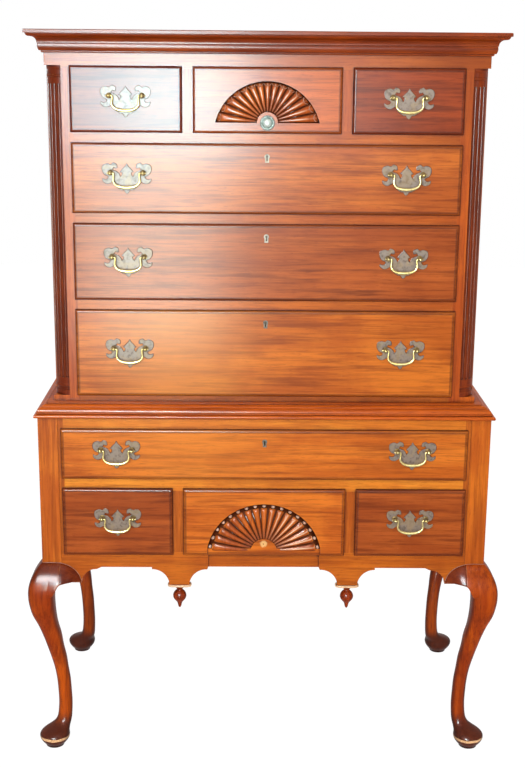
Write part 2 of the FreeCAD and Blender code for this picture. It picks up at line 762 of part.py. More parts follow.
# ---- Drawers --------------------------------------------------------------------------------
class Drawer:
    """One lipped drawer: its lips' outline, the frame plane it closes on and its fittings."""

    def __init__(self, name, x0, x1, z0, z1, plane, space, pulls=(), rise=0.0, key=False, fan=None):
        self.name, self.x0, self.x1, self.z0, self.z1 = name, x0, x1, z0, z1
        self.plane, self.fan, self.key = plane, fan, key
        self.face = plane - lip_proud
        self.inner = plane + front_inner
        self.rear = back - back_board - space
        self.box_x0 = x0 + lip_cover + side_gap
        self.box_x1 = x1 - lip_cover - side_gap
        self.box_z0 = z0 + lip_cover + run_gap
        self.box_z1 = z1 - lip_cover - head_gap
        self.pulls = [(x, (z0 + z1) / 2 + rise) for x in pulls]
        self.key_z = z1 - key_drop

    def front(self):
        lip = block(self.x0, self.x1, self.face + thumb_step, self.plane - seat_gap, self.z0, self.z1)
        rim = [edge for edge in lip.Edges if edge.BoundBox.YMax < self.face + thumb_step + 1e-6]
        lip = lip.makeFillet(thumb_radius, rim)
        step = thumb_radius + 1.0
        field = block(self.x0 + step, self.x1 - step, self.face, self.face + thumb_step + 1,
                      self.z0 + step, self.z1 - step)
        body = block(self.box_x0, self.box_x1, self.plane - seat_gap - 1, self.inner,
                     self.box_z0, self.box_z1)
        solid = lip.fuse([field, body]).removeSplitter()
        if self.fan == "upper":
            solid = carve_upper_fan(solid, self.z0, self.face)
        if self.fan == "lower":
            solid = carve_lower_fan(solid, self.z0, self.face)
        for x, z in self.pulls:
            for side in (-1, 1):
                solid = solid.cut(square_bolt(x + side * pull_bore / 2, self.face - 1, self.inner + 1, z))
        if self.key:
            solid = solid.cut(key_shape(self.key_z, key_radius, key_slot, key_length,
                                        self.face - 1, self.inner + 1))
        if self.fan == "upper":
            solid = solid.cut(square_bolt(0, self.face - 1, self.inner - screw_short, self.z0 + upper_fan_base))
        return [solid]

    def box(self):
        floor_low = self.box_z0 + floor_rise
        floor_high = floor_low + drawer_floor
        solids = []
        for outer, sign in ((self.box_x0, 1), (self.box_x1, -1)):
            xs = sorted((outer, outer + sign * drawer_side))
            side = block(xs[0], xs[1], self.inner, self.rear, self.box_z0, self.box_z1)
            cut = sorted((outer + sign * (drawer_side - groove), outer + sign * (drawer_side + 1)))
            side = side.cut(block(cut[0], cut[1], self.inner - 1, self.rear + 1, floor_low, floor_high))
            solids.append(side)
        in0, in1 = self.box_x0 + drawer_side, self.box_x1 - drawer_side
        solids.append(block(in0, in1, self.rear - drawer_side, self.rear, floor_high, self.box_z1 - 4))
        solids.append(block(in0 - groove, in1 + groove, self.inner, self.rear, floor_low, floor_high))
        return solids

    def brass(self):
        solids = []
        for x, z in self.pulls:
            posts = pull_posts(x, self.face, z, self.inner)
            plate = pull_plate(x, self.face, z)
            for side in (-1, 1):
                plate = plate.cut(square_bolt(x + side * pull_bore / 2, self.face - 9, self.inner, z))
            solids += [plate] + posts
        if self.key:
            liner = key_shape(self.key_z, key_radius, key_slot, key_length, self.face, self.plane)
            hole = key_shape(self.key_z, key_radius - 1.6, key_slot - 3.2, key_length - 1.6,
                             self.face - 1, self.plane + 1)
            solids.append(liner.cut(hole))
            solids.append(block(-lock_width / 2, lock_width / 2, self.inner, self.inner + lock_thick,
                                self.box_z1 - lock_height, self.box_z1))
        return solids


def key_shape(z, radius, slot, length, y0, y1):
    """A keyhole: an eight-sided round with a slot hanging from it."""
    corner = radius * (math.cos(math.pi / 8) + math.sin(math.pi / 8))
    right = [(slot / 2, -length), (slot / 2, slot / 2 - corner)]
    right += [(radius * math.cos(math.pi * turn / 8), radius * math.sin(math.pi * turn / 8))
              for turn in (-1, 1, 3)]
    steps = right + [(-x, height) for x, height in reversed(right)]
    return plate_xz((steps[0][0], z + steps[0][1]), [(x, z + height) for x, height in steps[1:]], y0, y1)


def pull_plate(x, face, z):
    """Bat-wing backplate: finial, barbs and hooked wings, mirrored about the middle."""
    right = [(px * pull_bore, pz * pull_bore) for px, pz in plate_edge]
    left = [(-px, pz) for px, pz in reversed(right[1:-1])]
    steps = [(x + px, z + pz) for px, pz in right[1:] + left]
    return plate_xz((x, z + right[0][1]), steps, face - plate_thick, face)


def square_bolt(x, y0, y1, z):
    half = bolt_square / 2
    return block(x - half, x + half, y0, y1, z - half, z + half)


def square_nut(x, y, z):
    half = nut_across / 2
    return block(x - half, x + half, y, y + nut_thick, z - half, z + half)


def sided_rod(radius, base, direction, length):
    """A straight rod with flat sides; the radius is to its corners."""
    rod = flat_face(*[V(radius * math.cos(turn), radius * math.sin(turn), 0) for turn in rod_turns()])
    rod = rod.extrude(V(0, 0, length))
    rod.Placement = FreeCAD.Placement(base, FreeCAD.Rotation(V(0, 0, 1), direction))
    return rod


def rod_turns():
    return [2 * math.pi * (i + 0.5) / rod_sides for i in range(rod_sides)]


def pull_posts(x, face, z, inner):
    """Two posts, each in one piece with its bolt and drilled for the bail."""
    seat = face - plate_thick
    bore_radius = (pin_radius + pin_gap) / math.cos(math.pi / rod_sides)
    forward = V(0, -1, 0)
    solids = []
    for px in (x - pull_bore / 2, x + pull_bore / 2):
        head = sided_rod(post_head, V(px, seat - post_reach + post_head, z), forward, 2 * post_head)
        neck = sided_rod(post_neck, V(px, seat, z), forward, post_reach - post_head)
        body = head.fuse([neck, square_bolt(px, seat, inner + nut_thick, z)])
        bore = sided_rod(bore_radius, V(px - 2 * post_head, seat - post_reach, z), V(1, 0, 0), 4 * post_head)
        solids += [body.cut(bore), square_nut(px, inner, z).cut(square_bolt(px, face, inner + 9, z))]
    return solids


def bail(x, face, z):
    """Swan-neck bail: a pin at each end, a bend, and a grip that swells to the middle."""
    y = face - plate_thick - post_reach
    post_inside = pull_bore / 2 - post_head - bail_gap
    neck = post_inside - pin_radius
    spine = [   # (across, down, heading across, heading down, radius)
        (pull_bore / 2 + post_head + 2.0, 0.0, -1.0, 0.0, pin_radius),
        (post_inside, 0.0, -1.0, 0.0, pin_radius), (neck + 0.6, -0.6, -1.0, -1.0, pin_radius),
        (neck, -3.0, 0.0, -1.0, 2.0), (neck + 0.2, -18.0, -0.2, -1.0, 2.1),
        (neck - 6.0, -27.6, -0.85, -0.5, 2.7),
        (0.0, -bail_drop, -1.0, 0.0, bail_swell)]
    half = lofted([facet_ring(*row) for row in spine])
    whole = half.fuse(flip_x(half))
    whole.translate(V(x, y, z))
    return [whole]


def facet_ring(across, down, head_x, head_z, radius):
    """A flat-sided section standing square to the heading."""
    length = math.hypot(head_x, head_z)
    side = V(-head_z / length, 0, head_x / length)
    centre = V(across, 0, down)
    return [centre + side * (radius * math.cos(turn)) + V(0, radius * math.sin(turn), 0)
            for turn in rod_turns()]


def rosette(drawer):
    z = drawer.z0 + upper_fan_base
    rings = [(r * knob_radius, h * knob_reach) for r, h in knob_profile]
    knob = faceted(rings, knob_sides, V(0, drawer.face, z), V(0, -1, 0))
    return [knob.fuse(square_bolt(0, drawer.face - 1, drawer.inner - screw_short, z))]


def drawers():
    rows = []
    both = (-upper_pull_x, upper_pull_x)
    side_x0 = upper_lip_half - upper_small_width
    top = upper_small_z + upper_small_height
    rows.append(Drawer("top_left", -upper_lip_half, -side_x0, upper_small_z, top, upper_front,
                       upper_drawer_space, (-upper_pull_x,), small_pull_rise))
    rows.append(Drawer("top_centre", -upper_centre_width / 2, upper_centre_width / 2, upper_small_z, top,
                       upper_front, upper_drawer_space, fan="upper"))
    rows.append(Drawer("top_right", side_x0, upper_lip_half, upper_small_z, top, upper_front,
                       upper_drawer_space, (upper_pull_x,), small_pull_rise))
    names = ("upper_third", "upper_second", "upper_first")
    for name, low, height in zip(names, upper_long_z, upper_long_heights):
        rows.append(Drawer(name, -upper_lip_half, upper_lip_half, low, low + height, upper_front,
                           upper_drawer_space, both, pull_rise, True))
    both = (-lower_pull_x, lower_pull_x)
    side_x0 = lower_lip_half - lower_small_width
    top = lower_small_z + lower_small_height
    rows.append(Drawer("lower_long", -lower_lip_half, lower_lip_half, lower_long_z,
                       lower_long_z + lower_long_height, front, lower_drawer_space, both, pull_rise, True))
    rows.append(Drawer("lower_left", -lower_lip_half, -side_x0, lower_small_z, top, front,
                       lower_drawer_space, (-lower_pull_x,), pull_rise))
    rows.append(Drawer("lower_centre", -lower_centre_width / 2, lower_centre_width / 2, lower_small_z, top,
                       front, lower_drawer_space, fan="lower"))
    rows.append(Drawer("lower_right", side_x0, lower_lip_half, lower_small_z, top, front,
                       lower_drawer_space, (lower_pull_x,), pull_rise))
    return rows


# ---- Write every piece ------------------------------------------------------------------------
def main():
    os.makedirs("parts", exist_ok=True)
    export("upper_sides", upper_sides())
    export("upper_back", upper_back())
    export("upper_top", upper_top())
    export("upper_bottom", upper_bottom())
    export("cornice", cornice())
    export("upper_front_frame", upper_front_frame())
    export("quarter_columns", quarter_columns())
    export("upper_runners", upper_runners())
    export("waist_moulding", waist_moulding())
    export("lower_sides", lower_sides())
    export("lower_back", lower_back())
    export("lower_top", lower_top_board())
    export("lower_front_frame", lower_front_frame())
    apron_solids = apron()
    export("apron", apron_solids)
    leg = right_leg()
    export("front_legs", front_legs(leg))
    export("rear_legs", rear_legs(leg))
    export("knee_blocks", knee_blocks(leg, apron_solids[0]))
    export("pendants", pendants())
    export("lower_runners", lower_runners())
    for drawer in drawers():
        export(drawer.name + "_front", drawer.front())
        export(drawer.name + "_box", drawer.box())
        if drawer.pulls:
            export(drawer.name + "_brass", drawer.brass())
        if drawer.fan == "upper":
            export(drawer.name + "_knob", rosette(drawer))
        for x, z in drawer.pulls:
            side = "" if len(drawer.pulls) == 1 else ("_left" if x < 0 else "_right")
            export(drawer.name + "_bail" + side, bail(x, drawer.face, z))


main()
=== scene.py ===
import math
import bmesh
import bpy
from mathutils import Matrix, Vector


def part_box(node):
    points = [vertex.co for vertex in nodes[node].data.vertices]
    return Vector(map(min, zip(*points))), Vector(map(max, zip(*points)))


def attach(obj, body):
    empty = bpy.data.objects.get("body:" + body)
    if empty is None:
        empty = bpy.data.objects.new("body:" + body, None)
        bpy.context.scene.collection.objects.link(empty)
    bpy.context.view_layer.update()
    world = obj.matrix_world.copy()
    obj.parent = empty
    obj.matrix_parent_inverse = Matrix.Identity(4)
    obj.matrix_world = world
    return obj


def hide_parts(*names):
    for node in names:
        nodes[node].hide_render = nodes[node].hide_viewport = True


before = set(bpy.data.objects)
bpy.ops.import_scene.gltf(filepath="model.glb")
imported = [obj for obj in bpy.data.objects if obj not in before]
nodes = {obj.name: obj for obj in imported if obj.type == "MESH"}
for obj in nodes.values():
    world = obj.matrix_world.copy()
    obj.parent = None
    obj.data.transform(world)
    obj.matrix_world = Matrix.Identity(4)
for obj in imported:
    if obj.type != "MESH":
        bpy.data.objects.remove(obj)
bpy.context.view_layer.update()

mm = 0.001


# meshes are drawn in millimetres and stored in metres
def newMesh(name, verts, faces, smooth=True):
    mesh = bpy.data.meshes.new(name)
    mesh.from_pydata([(x * mm, y * mm, z * mm) for x, y, z in verts], [], faces)
    mesh.update()
    work = bmesh.new()
    work.from_mesh(mesh)
    bmesh.ops.recalc_face_normals(work, faces=work.faces)
    work.to_mesh(mesh)
    work.free()
    for poly in mesh.polygons:
        poly.use_smooth = smooth
    obj = bpy.data.objects.new(name, mesh)
    bpy.context.scene.collection.objects.link(obj)
    return obj


# several shells (verts, faces) drawn as one mesh
def joinShells(name, shells, smooth=True):
    verts, faces = [], []
    for shellVerts, shellFaces in shells:
        start = len(verts)
        verts += shellVerts
        faces += [tuple(start + i for i in face) for face in shellFaces]
    return newMesh(name, verts, faces, smooth)


def movedShell(shell, change):
    return [change(v) for v in shell[0]], [tuple(reversed(face)) for face in shell[1]]


def mirrorX(v):
    return -v[0], v[1], v[2]


def mirrorY(v):
    return v[0], -v[1], v[2]


def bothSides(shell):
    return [shell, movedShell(shell, mirrorX)]


# skin between rings of equal length, closed round each ring and capped at both ends
def skinRings(rings):
    count = len(rings[0])
    verts = [v for ring in rings for v in ring]
    faces = []
    for i in range(len(rings) - 1):
        for j in range(count):
            k = (j + 1) % count
            faces.append((i * count + j, i * count + k, (i + 1) * count + k, (i + 1) * count + j))
    last = (len(rings) - 1) * count
    faces.append(tuple(reversed(range(count))))
    faces.append(tuple(range(last, last + count)))
    return verts, faces


# a plain block between its low and high x, y and z
def boxShell(x0, x1, y0, y1, z0, z1):
    ring0 = [(x0, y0, z0), (x1, y0, z0), (x1, y1, z0), (x0, y1, z0)]
    ring1 = [(x, y, z1) for x, y, z in ring0]
    return skinRings([ring0, ring1])


# cosine and sine of points round a circle, the first one turned by a share of a step
def circle(count, start=0.0):
    turns = [2 * math.pi * (j + start) / count for j in range(count)]
    return [(math.cos(turn), math.sin(turn)) for turn in turns]


# a turned piece: rings of (radius, distance) along an axis from a place
def turnedShell(profile, place, axis, count):
    axis = Vector(axis).normalized()
    side = axis.orthogonal().normalized()
    other = axis.cross(side)
    rings = []
    for radius, along in profile:
        radius = max(radius, 0.02)      # a tip stays just open
        middle = Vector(place) + axis * along
        rings.append([tuple(middle + side * (radius * c) + other * (radius * n))
                      for c, n in circle(count)])
    return skinRings(rings)


# a round bar along a path of (across, up, radius); put makes a place of across, up and forward
def barShell(path, count, put):
    rings = []
    for i, (across, up, radius) in enumerate(path):
        before, after = path[max(i - 1, 0)], path[min(i + 1, len(path) - 1)]
        dx, dz = after[0] - before[0], after[1] - before[1]
        size = math.hypot(dx, dz)
        rings.append([put(across - dz / size * radius * c, up + dx / size * radius * c, radius * n)
                      for c, n in circle(count)])
    return skinRings(rings)


# smooth curve through rows of numbers
def flow(rows, steps):
    out = []
    for i in range(len(rows) - 1):
        before, a, b = rows[max(i - 1, 0)], rows[i], rows[i + 1]
        after = rows[min(i + 2, len(rows) - 1)]
        for step in range(steps):
            t = step / steps
            out.append(tuple(
                0.5 * (2 * q + (r - p) * t + (2 * p - 5 * q + 4 * r - s) * t * t
                       + (3 * q - p - 3 * r + s) * t ** 3)
                for p, q, r, s in zip(before, a, b, after)))
    out.append(tuple(rows[-1]))
    return out


def setMaterial(obj, mat):
    if not obj.data.materials:
        obj.data.materials.append(mat)
    for i in range(len(obj.material_slots)):
        obj.material_slots[i].material = mat


# camera
cameraSettings = {
    "place": (-0.0396, -3.0280, 1.5940),
    "pitchDown": 14.226,
    "turnRight": 0.698,
    "roll": 0.4995,
    "lens": 60.09,
    "sensorWidth": 36.0,
    "farthest": 50.0,
}


def makeCamera(s):
    pitch, yaw, roll = (math.radians(s[k]) for k in ("pitchDown", "turnRight", "roll"))
    ahead = Vector((math.sin(yaw) * math.cos(pitch), math.cos(yaw) * math.cos(pitch),
                    -math.sin(pitch)))
    right0 = Vector((math.cos(yaw), -math.sin(yaw), 0.0))
    up0 = right0.cross(ahead)
    right = math.cos(roll) * right0 + math.sin(roll) * up0
    up = -math.sin(roll) * right0 + math.cos(roll) * up0
    data = bpy.data.cameras.new("camera")
    data.lens = s["lens"]
    data.sensor_width = s["sensorWidth"]
    data.clip_end = s["farthest"]
    cam = bpy.data.objects.new("camera", data)
    turn = Matrix((right, up, -ahead)).transposed().to_4x4()
    cam.matrix_world = Matrix.Translation(s["place"]) @ turn
    bpy.context.scene.collection.objects.link(cam)
    bpy.context.scene.camera = cam


makeCamera(cameraSettings)
print("camera ready")


# shader helpers: each adds a node to a tree and gives its output
def link(tree, source, target):
    tree.links.new(source, target)


def mathNode(tree, operation, a, b=None):
    node = tree.nodes.new("ShaderNodeMath")
    node.operation = operation
    for i, value in enumerate((a, b)):
        if value is None:
            continue
        if isinstance(value, (int, float)):
            node.inputs[i].default_value = value
        else:
            link(tree, value, node.inputs[i])
    return node.outputs[0]


def plus(tree, a, b):
    return mathNode(tree, "ADD", a, b)


def minus(tree, a, b):
    return mathNode(tree, "SUBTRACT", a, b)


def most(tree, a, b):
    return mathNode(tree, "MAXIMUM", a, b)


def times(tree, first, *others):
    for value in others:
        first = mathNode(tree, "MULTIPLY", first, value)
    return first


# how far one value lies from another, to either side
def apart(tree, a, b):
    return mathNode(tree, "ABSOLUTE", minus(tree, a, b))


def length(tree, a, b):
    return mathNode(tree, "SQRT", plus(tree, mathNode(tree, "POWER", a, 2.0),
                                       mathNode(tree, "POWER", b, 2.0)))


def axes(tree, vector):
    node = tree.nodes.new("ShaderNodeSeparateXYZ")
    link(tree, vector, node.inputs[0])
    return node.outputs["X"], node.outputs["Y"], node.outputs["Z"]


def remap(tree, value, low, high, outLow=0.0, outHigh=1.0):
    node = tree.nodes.new("ShaderNodeMapRange")
    node.interpolation_type = "SMOOTHSTEP"
    link(tree, value, node.inputs["Value"])
    for title, number in (("From Min", low), ("From Max", high), ("To Min", outLow),
                          ("To Max", outHigh)):
        node.inputs[title].default_value = number
    return node.outputs["Result"]


def mixColor(tree, factor, a, b):
    node = tree.nodes.new("ShaderNodeMix")
    node.data_type = "RGBA"
    for socket, value in ((node.inputs[0], factor), (node.inputs[6], a), (node.inputs[7], b)):
        if isinstance(value, (int, float)):
            socket.default_value = value
        elif isinstance(value, tuple):
            socket.default_value = (*value, 1)
        else:
            link(tree, value, socket)
    return node.outputs[2]


def noise(tree, vector, scale, detail=3.0, rough=0.5, warp=0.0):
    node = tree.nodes.new("ShaderNodeTexNoise")
    for title, number in (("Scale", scale), ("Detail", detail), ("Roughness", rough),
                          ("Distortion", warp)):
        node.inputs[title].default_value = number
    link(tree, vector, node.inputs["Vector"])
    return node.outputs["Fac"]


def vectorNode(tree, operation, vector, value, output=0):
    node = tree.nodes.new("ShaderNodeVectorMath")
    node.operation = operation
    link(tree, vector, node.inputs[0])
    if isinstance(value, tuple):
        node.inputs[1].default_value = value
    else:
        link(tree, value, node.inputs[1])
    return node.outputs[output]


def plainShader(tree, kind, color):
    node = tree.nodes.new(kind)
    node.inputs["Color"].default_value = (*color, 1)
    return node


# two shaders mixed by a mask and sent to the output
def mixShaders(tree, mask, first, second, output):
    mix = tree.nodes.new("ShaderNodeMixShader")
    for i, source in enumerate((mask, first.outputs[0], second.outputs[0])):
        link(tree, source, mix.inputs[i])
    link(tree, mix.outputs[0], tree.nodes.new(output).inputs[0])


# lamps, world and floor
roomSettings = {
    "worldLight": (0.60, 0.62, 0.65),
    "floorSize": 14.0,
    "floorColor": (0.94, 0.94, 0.94),
    "floorWhiteShare": 0.90,
    "floorWhite": 1.08,
}
# where a lamp stands, what it faces, its size, watts and colour, whether it lights surfaces, and
# whether it shows in polish
lampSettings = {
    "key": ((-1.3, -4.6, 2.6), (-0.1, -0.24, 1.0), (1.8, 1.8), 94.0,
            (1.0, 0.97, 0.93), True, False),
    "fill": ((3.0, -3.6, 1.6), (0.0, 0.0, 0.7), (1.4, 2.0), 26.3, (1.0, 0.96, 0.90), True, True),
    "top": ((0.0, -1.4, 4.2), (0.0, 0.0, 0.6), (2.4, 2.4), 32.0, (1.0, 1.0, 1.0), True, False),
    "window": ((-0.34, -3.6, 1.42), (-0.34, 0.0, 1.42), (0.58, 0.52), 220.2,
               (0.64, 0.95, 1.0), False, True),
    "windowSide": ((-0.85, -3.6, 1.42), (-0.85, 0.0, 1.42), (0.42, 0.52), 88.6,
                   (0.62, 0.90, 1.0), False, True),
    "windowRest": ((0.30, -3.6, 1.42), (0.30, 0.0, 1.42), (0.66, 0.52), 20.6,
                   (1.0, 0.92, 0.86), False, True),
    "windowFoot": ((-0.52, -3.6, 0.70), (-0.52, 0.0, 0.70), (0.66, 0.92), 151.8,
                   (0.88, 1.0, 0.90), False, True),
    "lantern": ((-0.98, -3.6, 2.22), (-0.5, -0.3, 0.5), (1.25, 0.95), 552.9,
                (0.92, 0.97, 1.0), False, True),
    "skylight": ((0.0, -2.6, 4.4), (0.0, -0.2, 0.6), (2.8, 1.4), 38.0,
                 (1.0, 0.98, 0.96), False, True),
}


# 1 for what is seen straight on, in polish or brass, or through glass: there the room is white
def seenMask(tree):
    path = tree.nodes.new("ShaderNodeLightPath").outputs
    mirrored = most(tree, path["Is Glossy Ray"], path["Is Transmission Ray"])
    return most(tree, path["Is Camera Ray"], mirrored)


def makeWorld(s):
    world = bpy.data.worlds.new("room")
    bpy.context.scene.world = world
    world.use_nodes = True
    tree = world.node_tree
    tree.nodes.clear()
    light = plainShader(tree, "ShaderNodeBackground", s["worldLight"])
    white = plainShader(tree, "ShaderNodeBackground", (1, 1, 1))
    mixShaders(tree, seenMask(tree), light, white, "ShaderNodeOutputWorld")


def makeFloor(s):
    h = s["floorSize"] / mm / 2
    corners = [(-h, -h, 0), (h, -h, 0), (h, h, 0), (-h, h, 0)]
    floor = newMesh("floor", corners, [(0, 1, 2, 3)], False)
    mat = bpy.data.materials.new("palePaper")
    mat.use_nodes = True
    tree = mat.node_tree
    tree.nodes.clear()
    lit = plainShader(tree, "ShaderNodeBsdfDiffuse", s["floorColor"])
    white = plainShader(tree, "ShaderNodeEmission", (1, 1, 1))
    white.inputs["Strength"].default_value = s["floorWhite"]
    share = times(tree, seenMask(tree), s["floorWhiteShare"])
    mixShaders(tree, share, lit, white, "ShaderNodeOutputMaterial")
    setMaterial(floor, mat)


def makeLamp(name, place, aim, size, watts, color, lights, shows):
    data = bpy.data.lights.new(name + "Lamp", "AREA")
    data.shape = "RECTANGLE"
    data.size, data.size_y = size
    data.energy = watts
    data.color = color
    lamp = bpy.data.objects.new(name + "Lamp", data)
    lamp.location = place
    lamp.rotation_euler = (Vector(aim) - Vector(place)).to_track_quat("-Z", "Y").to_euler()
    lamp.visible_diffuse = lights
    lamp.visible_glossy = shows
    bpy.context.scene.collection.objects.link(lamp)


makeWorld(roomSettings)
makeFloor(roomSettings)
for name, row in lampSettings.items():
    makeLamp(name, *row)
bpy.context.scene.view_settings.view_transform = "Standard"
print("room ready")


# shared effects are groups; each socket's kind stands after its name
def newGroup(name, inputs, outputs):
    group = bpy.data.node_groups.new(name, "ShaderNodeTree")
    for sockets, way in ((inputs, "INPUT"), (outputs, "OUTPUT")):
        for title, kind in sockets.items():
            group.interface.new_socket(name=title, in_out=way, socket_type="NodeSocket" + kind)
    given = group.nodes.new("NodeGroupInput").outputs
    return group, given, group.nodes.new("NodeGroupOutput").inputs


# layers of noise (scale, detail, roughness, warp), where each sets in, and how much it darkens
grainSettings = {
    "cloud": (5.2, 4.0, 0.55, 0.5), "broad": (1.8, 4.0, 0.60, 0.45), "broadShare": 0.55,
    "lightFrom": (0.42, 0.58), "shineFrom": (0.3, 0.7),
    "ribbon": (7.2, 4.0, 0.62, 0.25), "ribbonFrom": (0.44, 0.68), "ribbonDark": 0.80,
    "fine": (19.0, 3.0, 0.7, 0.2), "fineFrom": (0.46, 0.74), "fineDark": 0.50, "fineRelief": 0.4,
    "pores": (1.0, 2.0, 0.6), "poresFrom": (0.60, 0.72), "poresDark": 0.40, "poresRelief": 0.6,
}


# wood along its grain: broad figure, ribbon streaks, fine streaks and short dark pores
def makeGrainGroup(s):
    group, given, made = newGroup("woodGrain", {
        "Place": "Vector", "Along": "Vector", "Dash": "Vector", "Light": "Color",
        "Middle": "Color", "Dark": "Color", "Figure": "Float"}, {
        "Color": "Color", "Shine": "Float", "Relief": "Float"})
    place = vectorNode(group, "MULTIPLY", given["Place"], given["Along"])
    dashes = vectorNode(group, "MULTIPLY", given["Place"], given["Dash"])
    cloud = noise(group, given["Place"], *s["cloud"])
    broad, ribbon, fine = (noise(group, place, *s[k]) for k in ("broad", "ribbon", "fine"))
    pores = remap(group, noise(group, dashes, *s["pores"]), *s["poresFrom"])
    mixed = plus(group, times(group, broad, s["broadShare"]),
                 times(group, cloud, 1 - s["broadShare"]))
    tone = mixColor(group, remap(group, mixed, *s["lightFrom"]), given["Middle"], given["Light"])
    streak = times(group, remap(group, ribbon, *s["ribbonFrom"]), given["Figure"], s["ribbonDark"])
    fleck = remap(group, fine, *s["fineFrom"], 0.0, s["fineDark"])
    for share in (streak, fleck, times(group, pores, s["poresDark"])):
        tone = mixColor(group, share, tone, given["Dark"])
    link(group, tone, made["Color"])
    link(group, remap(group, broad, *s["shineFrom"]), made["Shine"])
    link(group, minus(group, times(group, fine, s["fineRelief"]),
                      times(group, pores, s["poresRelief"])), made["Relief"])
    return group


# distance inwards from the edges of a panel, given by its low and high corners
def makePanelGroup():
    group, given, made = newGroup("panelEdges", {
        "Place": "Vector", "Low": "Vector", "High": "Vector"}, {"Inwards": "Float"})
    gaps = []
    for a, b in (("Place", "Low"), ("High", "Place")):
        x, y, z = axes(group, vectorNode(group, "SUBTRACT", given[a], given[b]))
        gaps.append(mathNode(group, "MINIMUM", x, z))
    link(group, mathNode(group, "MINIMUM", *gaps), made["Inwards"])
    return group


# how far a place lies from the middle of the fan's rib that it is on, 0 to 1, how far from the
# hub, and how far to the right of it
def makeFanGroup():
    group, given, made = newGroup("fanRibs", {
        "Place": "Vector", "Hub": "Vector", "Pitch": "Float"}, {
        "Side": "Float", "Out": "Float", "Lean": "Float"})
    x, y, z = axes(group, vectorNode(group, "SUBTRACT", given["Place"], given["Hub"]))
    angle = mathNode(group, "ARCTAN2", z, x)
    turn = mathNode(group, "FRACT", mathNode(group, "DIVIDE", angle, given["Pitch"]))
    link(group, apart(group, times(group, turn, 2.0), 1.0), made["Side"])
    out = length(group, x, z)
    link(group, out, made["Out"])
    link(group, mathNode(group, "DIVIDE", x, out), made["Lean"])
    return group


wearShadeSettings = {
    "hollowRays": 5, "uneven": (38.0, 3.0, 0.6), "unevenShare": 0.22, "cornerFrom": (0.98, 0.45),
    "arrisRays": 4, "sharpFrom": (0.985, 0.86), "outsideFrom": (0.70, 0.95),
    "patchyFrom": (0.40, 0.62), "chips": (55.0, 4.0, 0.7), "chipsFrom": (0.68, 0.74),
}


# painted shade in corners and hollows (duller tarnish on brass), polish rubbed off edges, pale
# rubbed spots, and eased arrises
def makeWearShadeGroup(s):
    group, given, made = newGroup("handling", {
        "Place": "Vector", "Reach": "Float", "Arris": "Float"}, {
        "Corner": "Float", "Edge": "Float", "Rub": "Float", "Normal": "Vector"})
    hollow = group.nodes.new("ShaderNodeAmbientOcclusion")
    hollow.samples = s["hollowRays"]
    link(group, given["Reach"], hollow.inputs["Distance"])
    uneven = noise(group, given["Place"], *s["uneven"])
    openness = plus(group, hollow.outputs["AO"], times(group, uneven, s["unevenShare"]))
    link(group, remap(group, openness, *s["cornerFrom"]), made["Corner"])
    eased = group.nodes.new("ShaderNodeBevel")
    eased.samples = s["arrisRays"]
    link(group, given["Arris"], eased.inputs["Radius"])
    link(group, eased.outputs["Normal"], made["Normal"])
    flat = group.nodes.new("ShaderNodeNewGeometry").outputs["True Normal"]
    turn = vectorNode(group, "DOT_PRODUCT", eased.outputs["Normal"], flat, "Value")
    sharp = remap(group, turn, *s["sharpFrom"])
    outside = remap(group, hollow.outputs["AO"], *s["outsideFrom"])
    patchy = remap(group, uneven, *s["patchyFrom"])
    link(group, times(group, sharp, outside, patchy), made["Edge"])
    chips = noise(group, given["Place"], *s["chips"])
    link(group, remap(group, chips, *s["chipsFrom"]), made["Rub"])
    return group


grainGroup = makeGrainGroup(grainSettings)
panelGroup = makePanelGroup()
fanGroup = makeFanGroup()
wearShadeGroup = makeWearShadeGroup(wearShadeSettings)


def placeGroup(tree, group, values, vector):
    node = tree.nodes.new("ShaderNodeGroup")
    node.node_tree = group
    for title, value in values.items():
        node.inputs[title].default_value = value
    link(tree, vector, node.inputs["Place"])
    return node.outputs


# along gives the way of the grain
def placeGrain(tree, s, along, place):
    return placeGroup(tree, grainGroup, {
        "Along": along, "Dash": poreAlong[s["along"]], "Light": (*s["light"], 1),
        "Middle": (*s["middle"], 1), "Dark": (*s["dark"], 1), "Figure": s["figure"]}, place)


def placeWearShade(tree, s, place):
    return placeGroup(tree, wearShadeGroup, {"Reach": s["reach"], "Arris": s["arris"]}, place)


# edges and spots rubbed to a paler colour
def wearAway(tree, wearShade, color, s):
    color = mixColor(tree, times(tree, wearShade["Edge"], s["edgeShare"]), color, s["rubColor"])
    if "spotShare" in s:
        color = mixColor(tree, times(tree, wearShade["Rub"], s["spotShare"]), color, s["rubColor"])
    return color


def newMaterial(name):
    mat = bpy.data.materials.new(name)
    mat.use_nodes = True
    tree = mat.node_tree
    place = tree.nodes.new("ShaderNodeTexCoord").outputs["Object"]
    return mat, tree, tree.nodes["Principled BSDF"], place


# colour, roughness (a base and a share of a mask) and fine relief of a finish
def dress(tree, shader, color, s, mask, height, normal):
    link(tree, color, shader.inputs["Base Color"])
    rough = plus(tree, times(tree, mask, s["roughShare"]), s["roughness"])
    link(tree, rough, shader.inputs["Roughness"])
    shader.inputs["Specular IOR Level"].default_value = s["specular"]
    if "coat" in s:
        shader.inputs["Coat Weight"].default_value = s["coat"]
        shader.inputs["Coat Roughness"].default_value = s["coatRoughness"]
    bump = tree.nodes.new("ShaderNodeBump")
    bump.inputs["Strength"].default_value, bump.inputs["Distance"].default_value = s["relief"]
    link(tree, height, bump.inputs["Height"])
    link(tree, normal, bump.inputs["Normal"])
    link(tree, bump.outputs["Normal"], shader.inputs["Normal"])


grainAlong = {"x": (0.62, 13.0, 13.0), "z": (13.0, 13.0, 0.62)}
poreAlong = {"x": (60.0, 620.0, 620.0), "z": (620.0, 620.0, 60.0)}

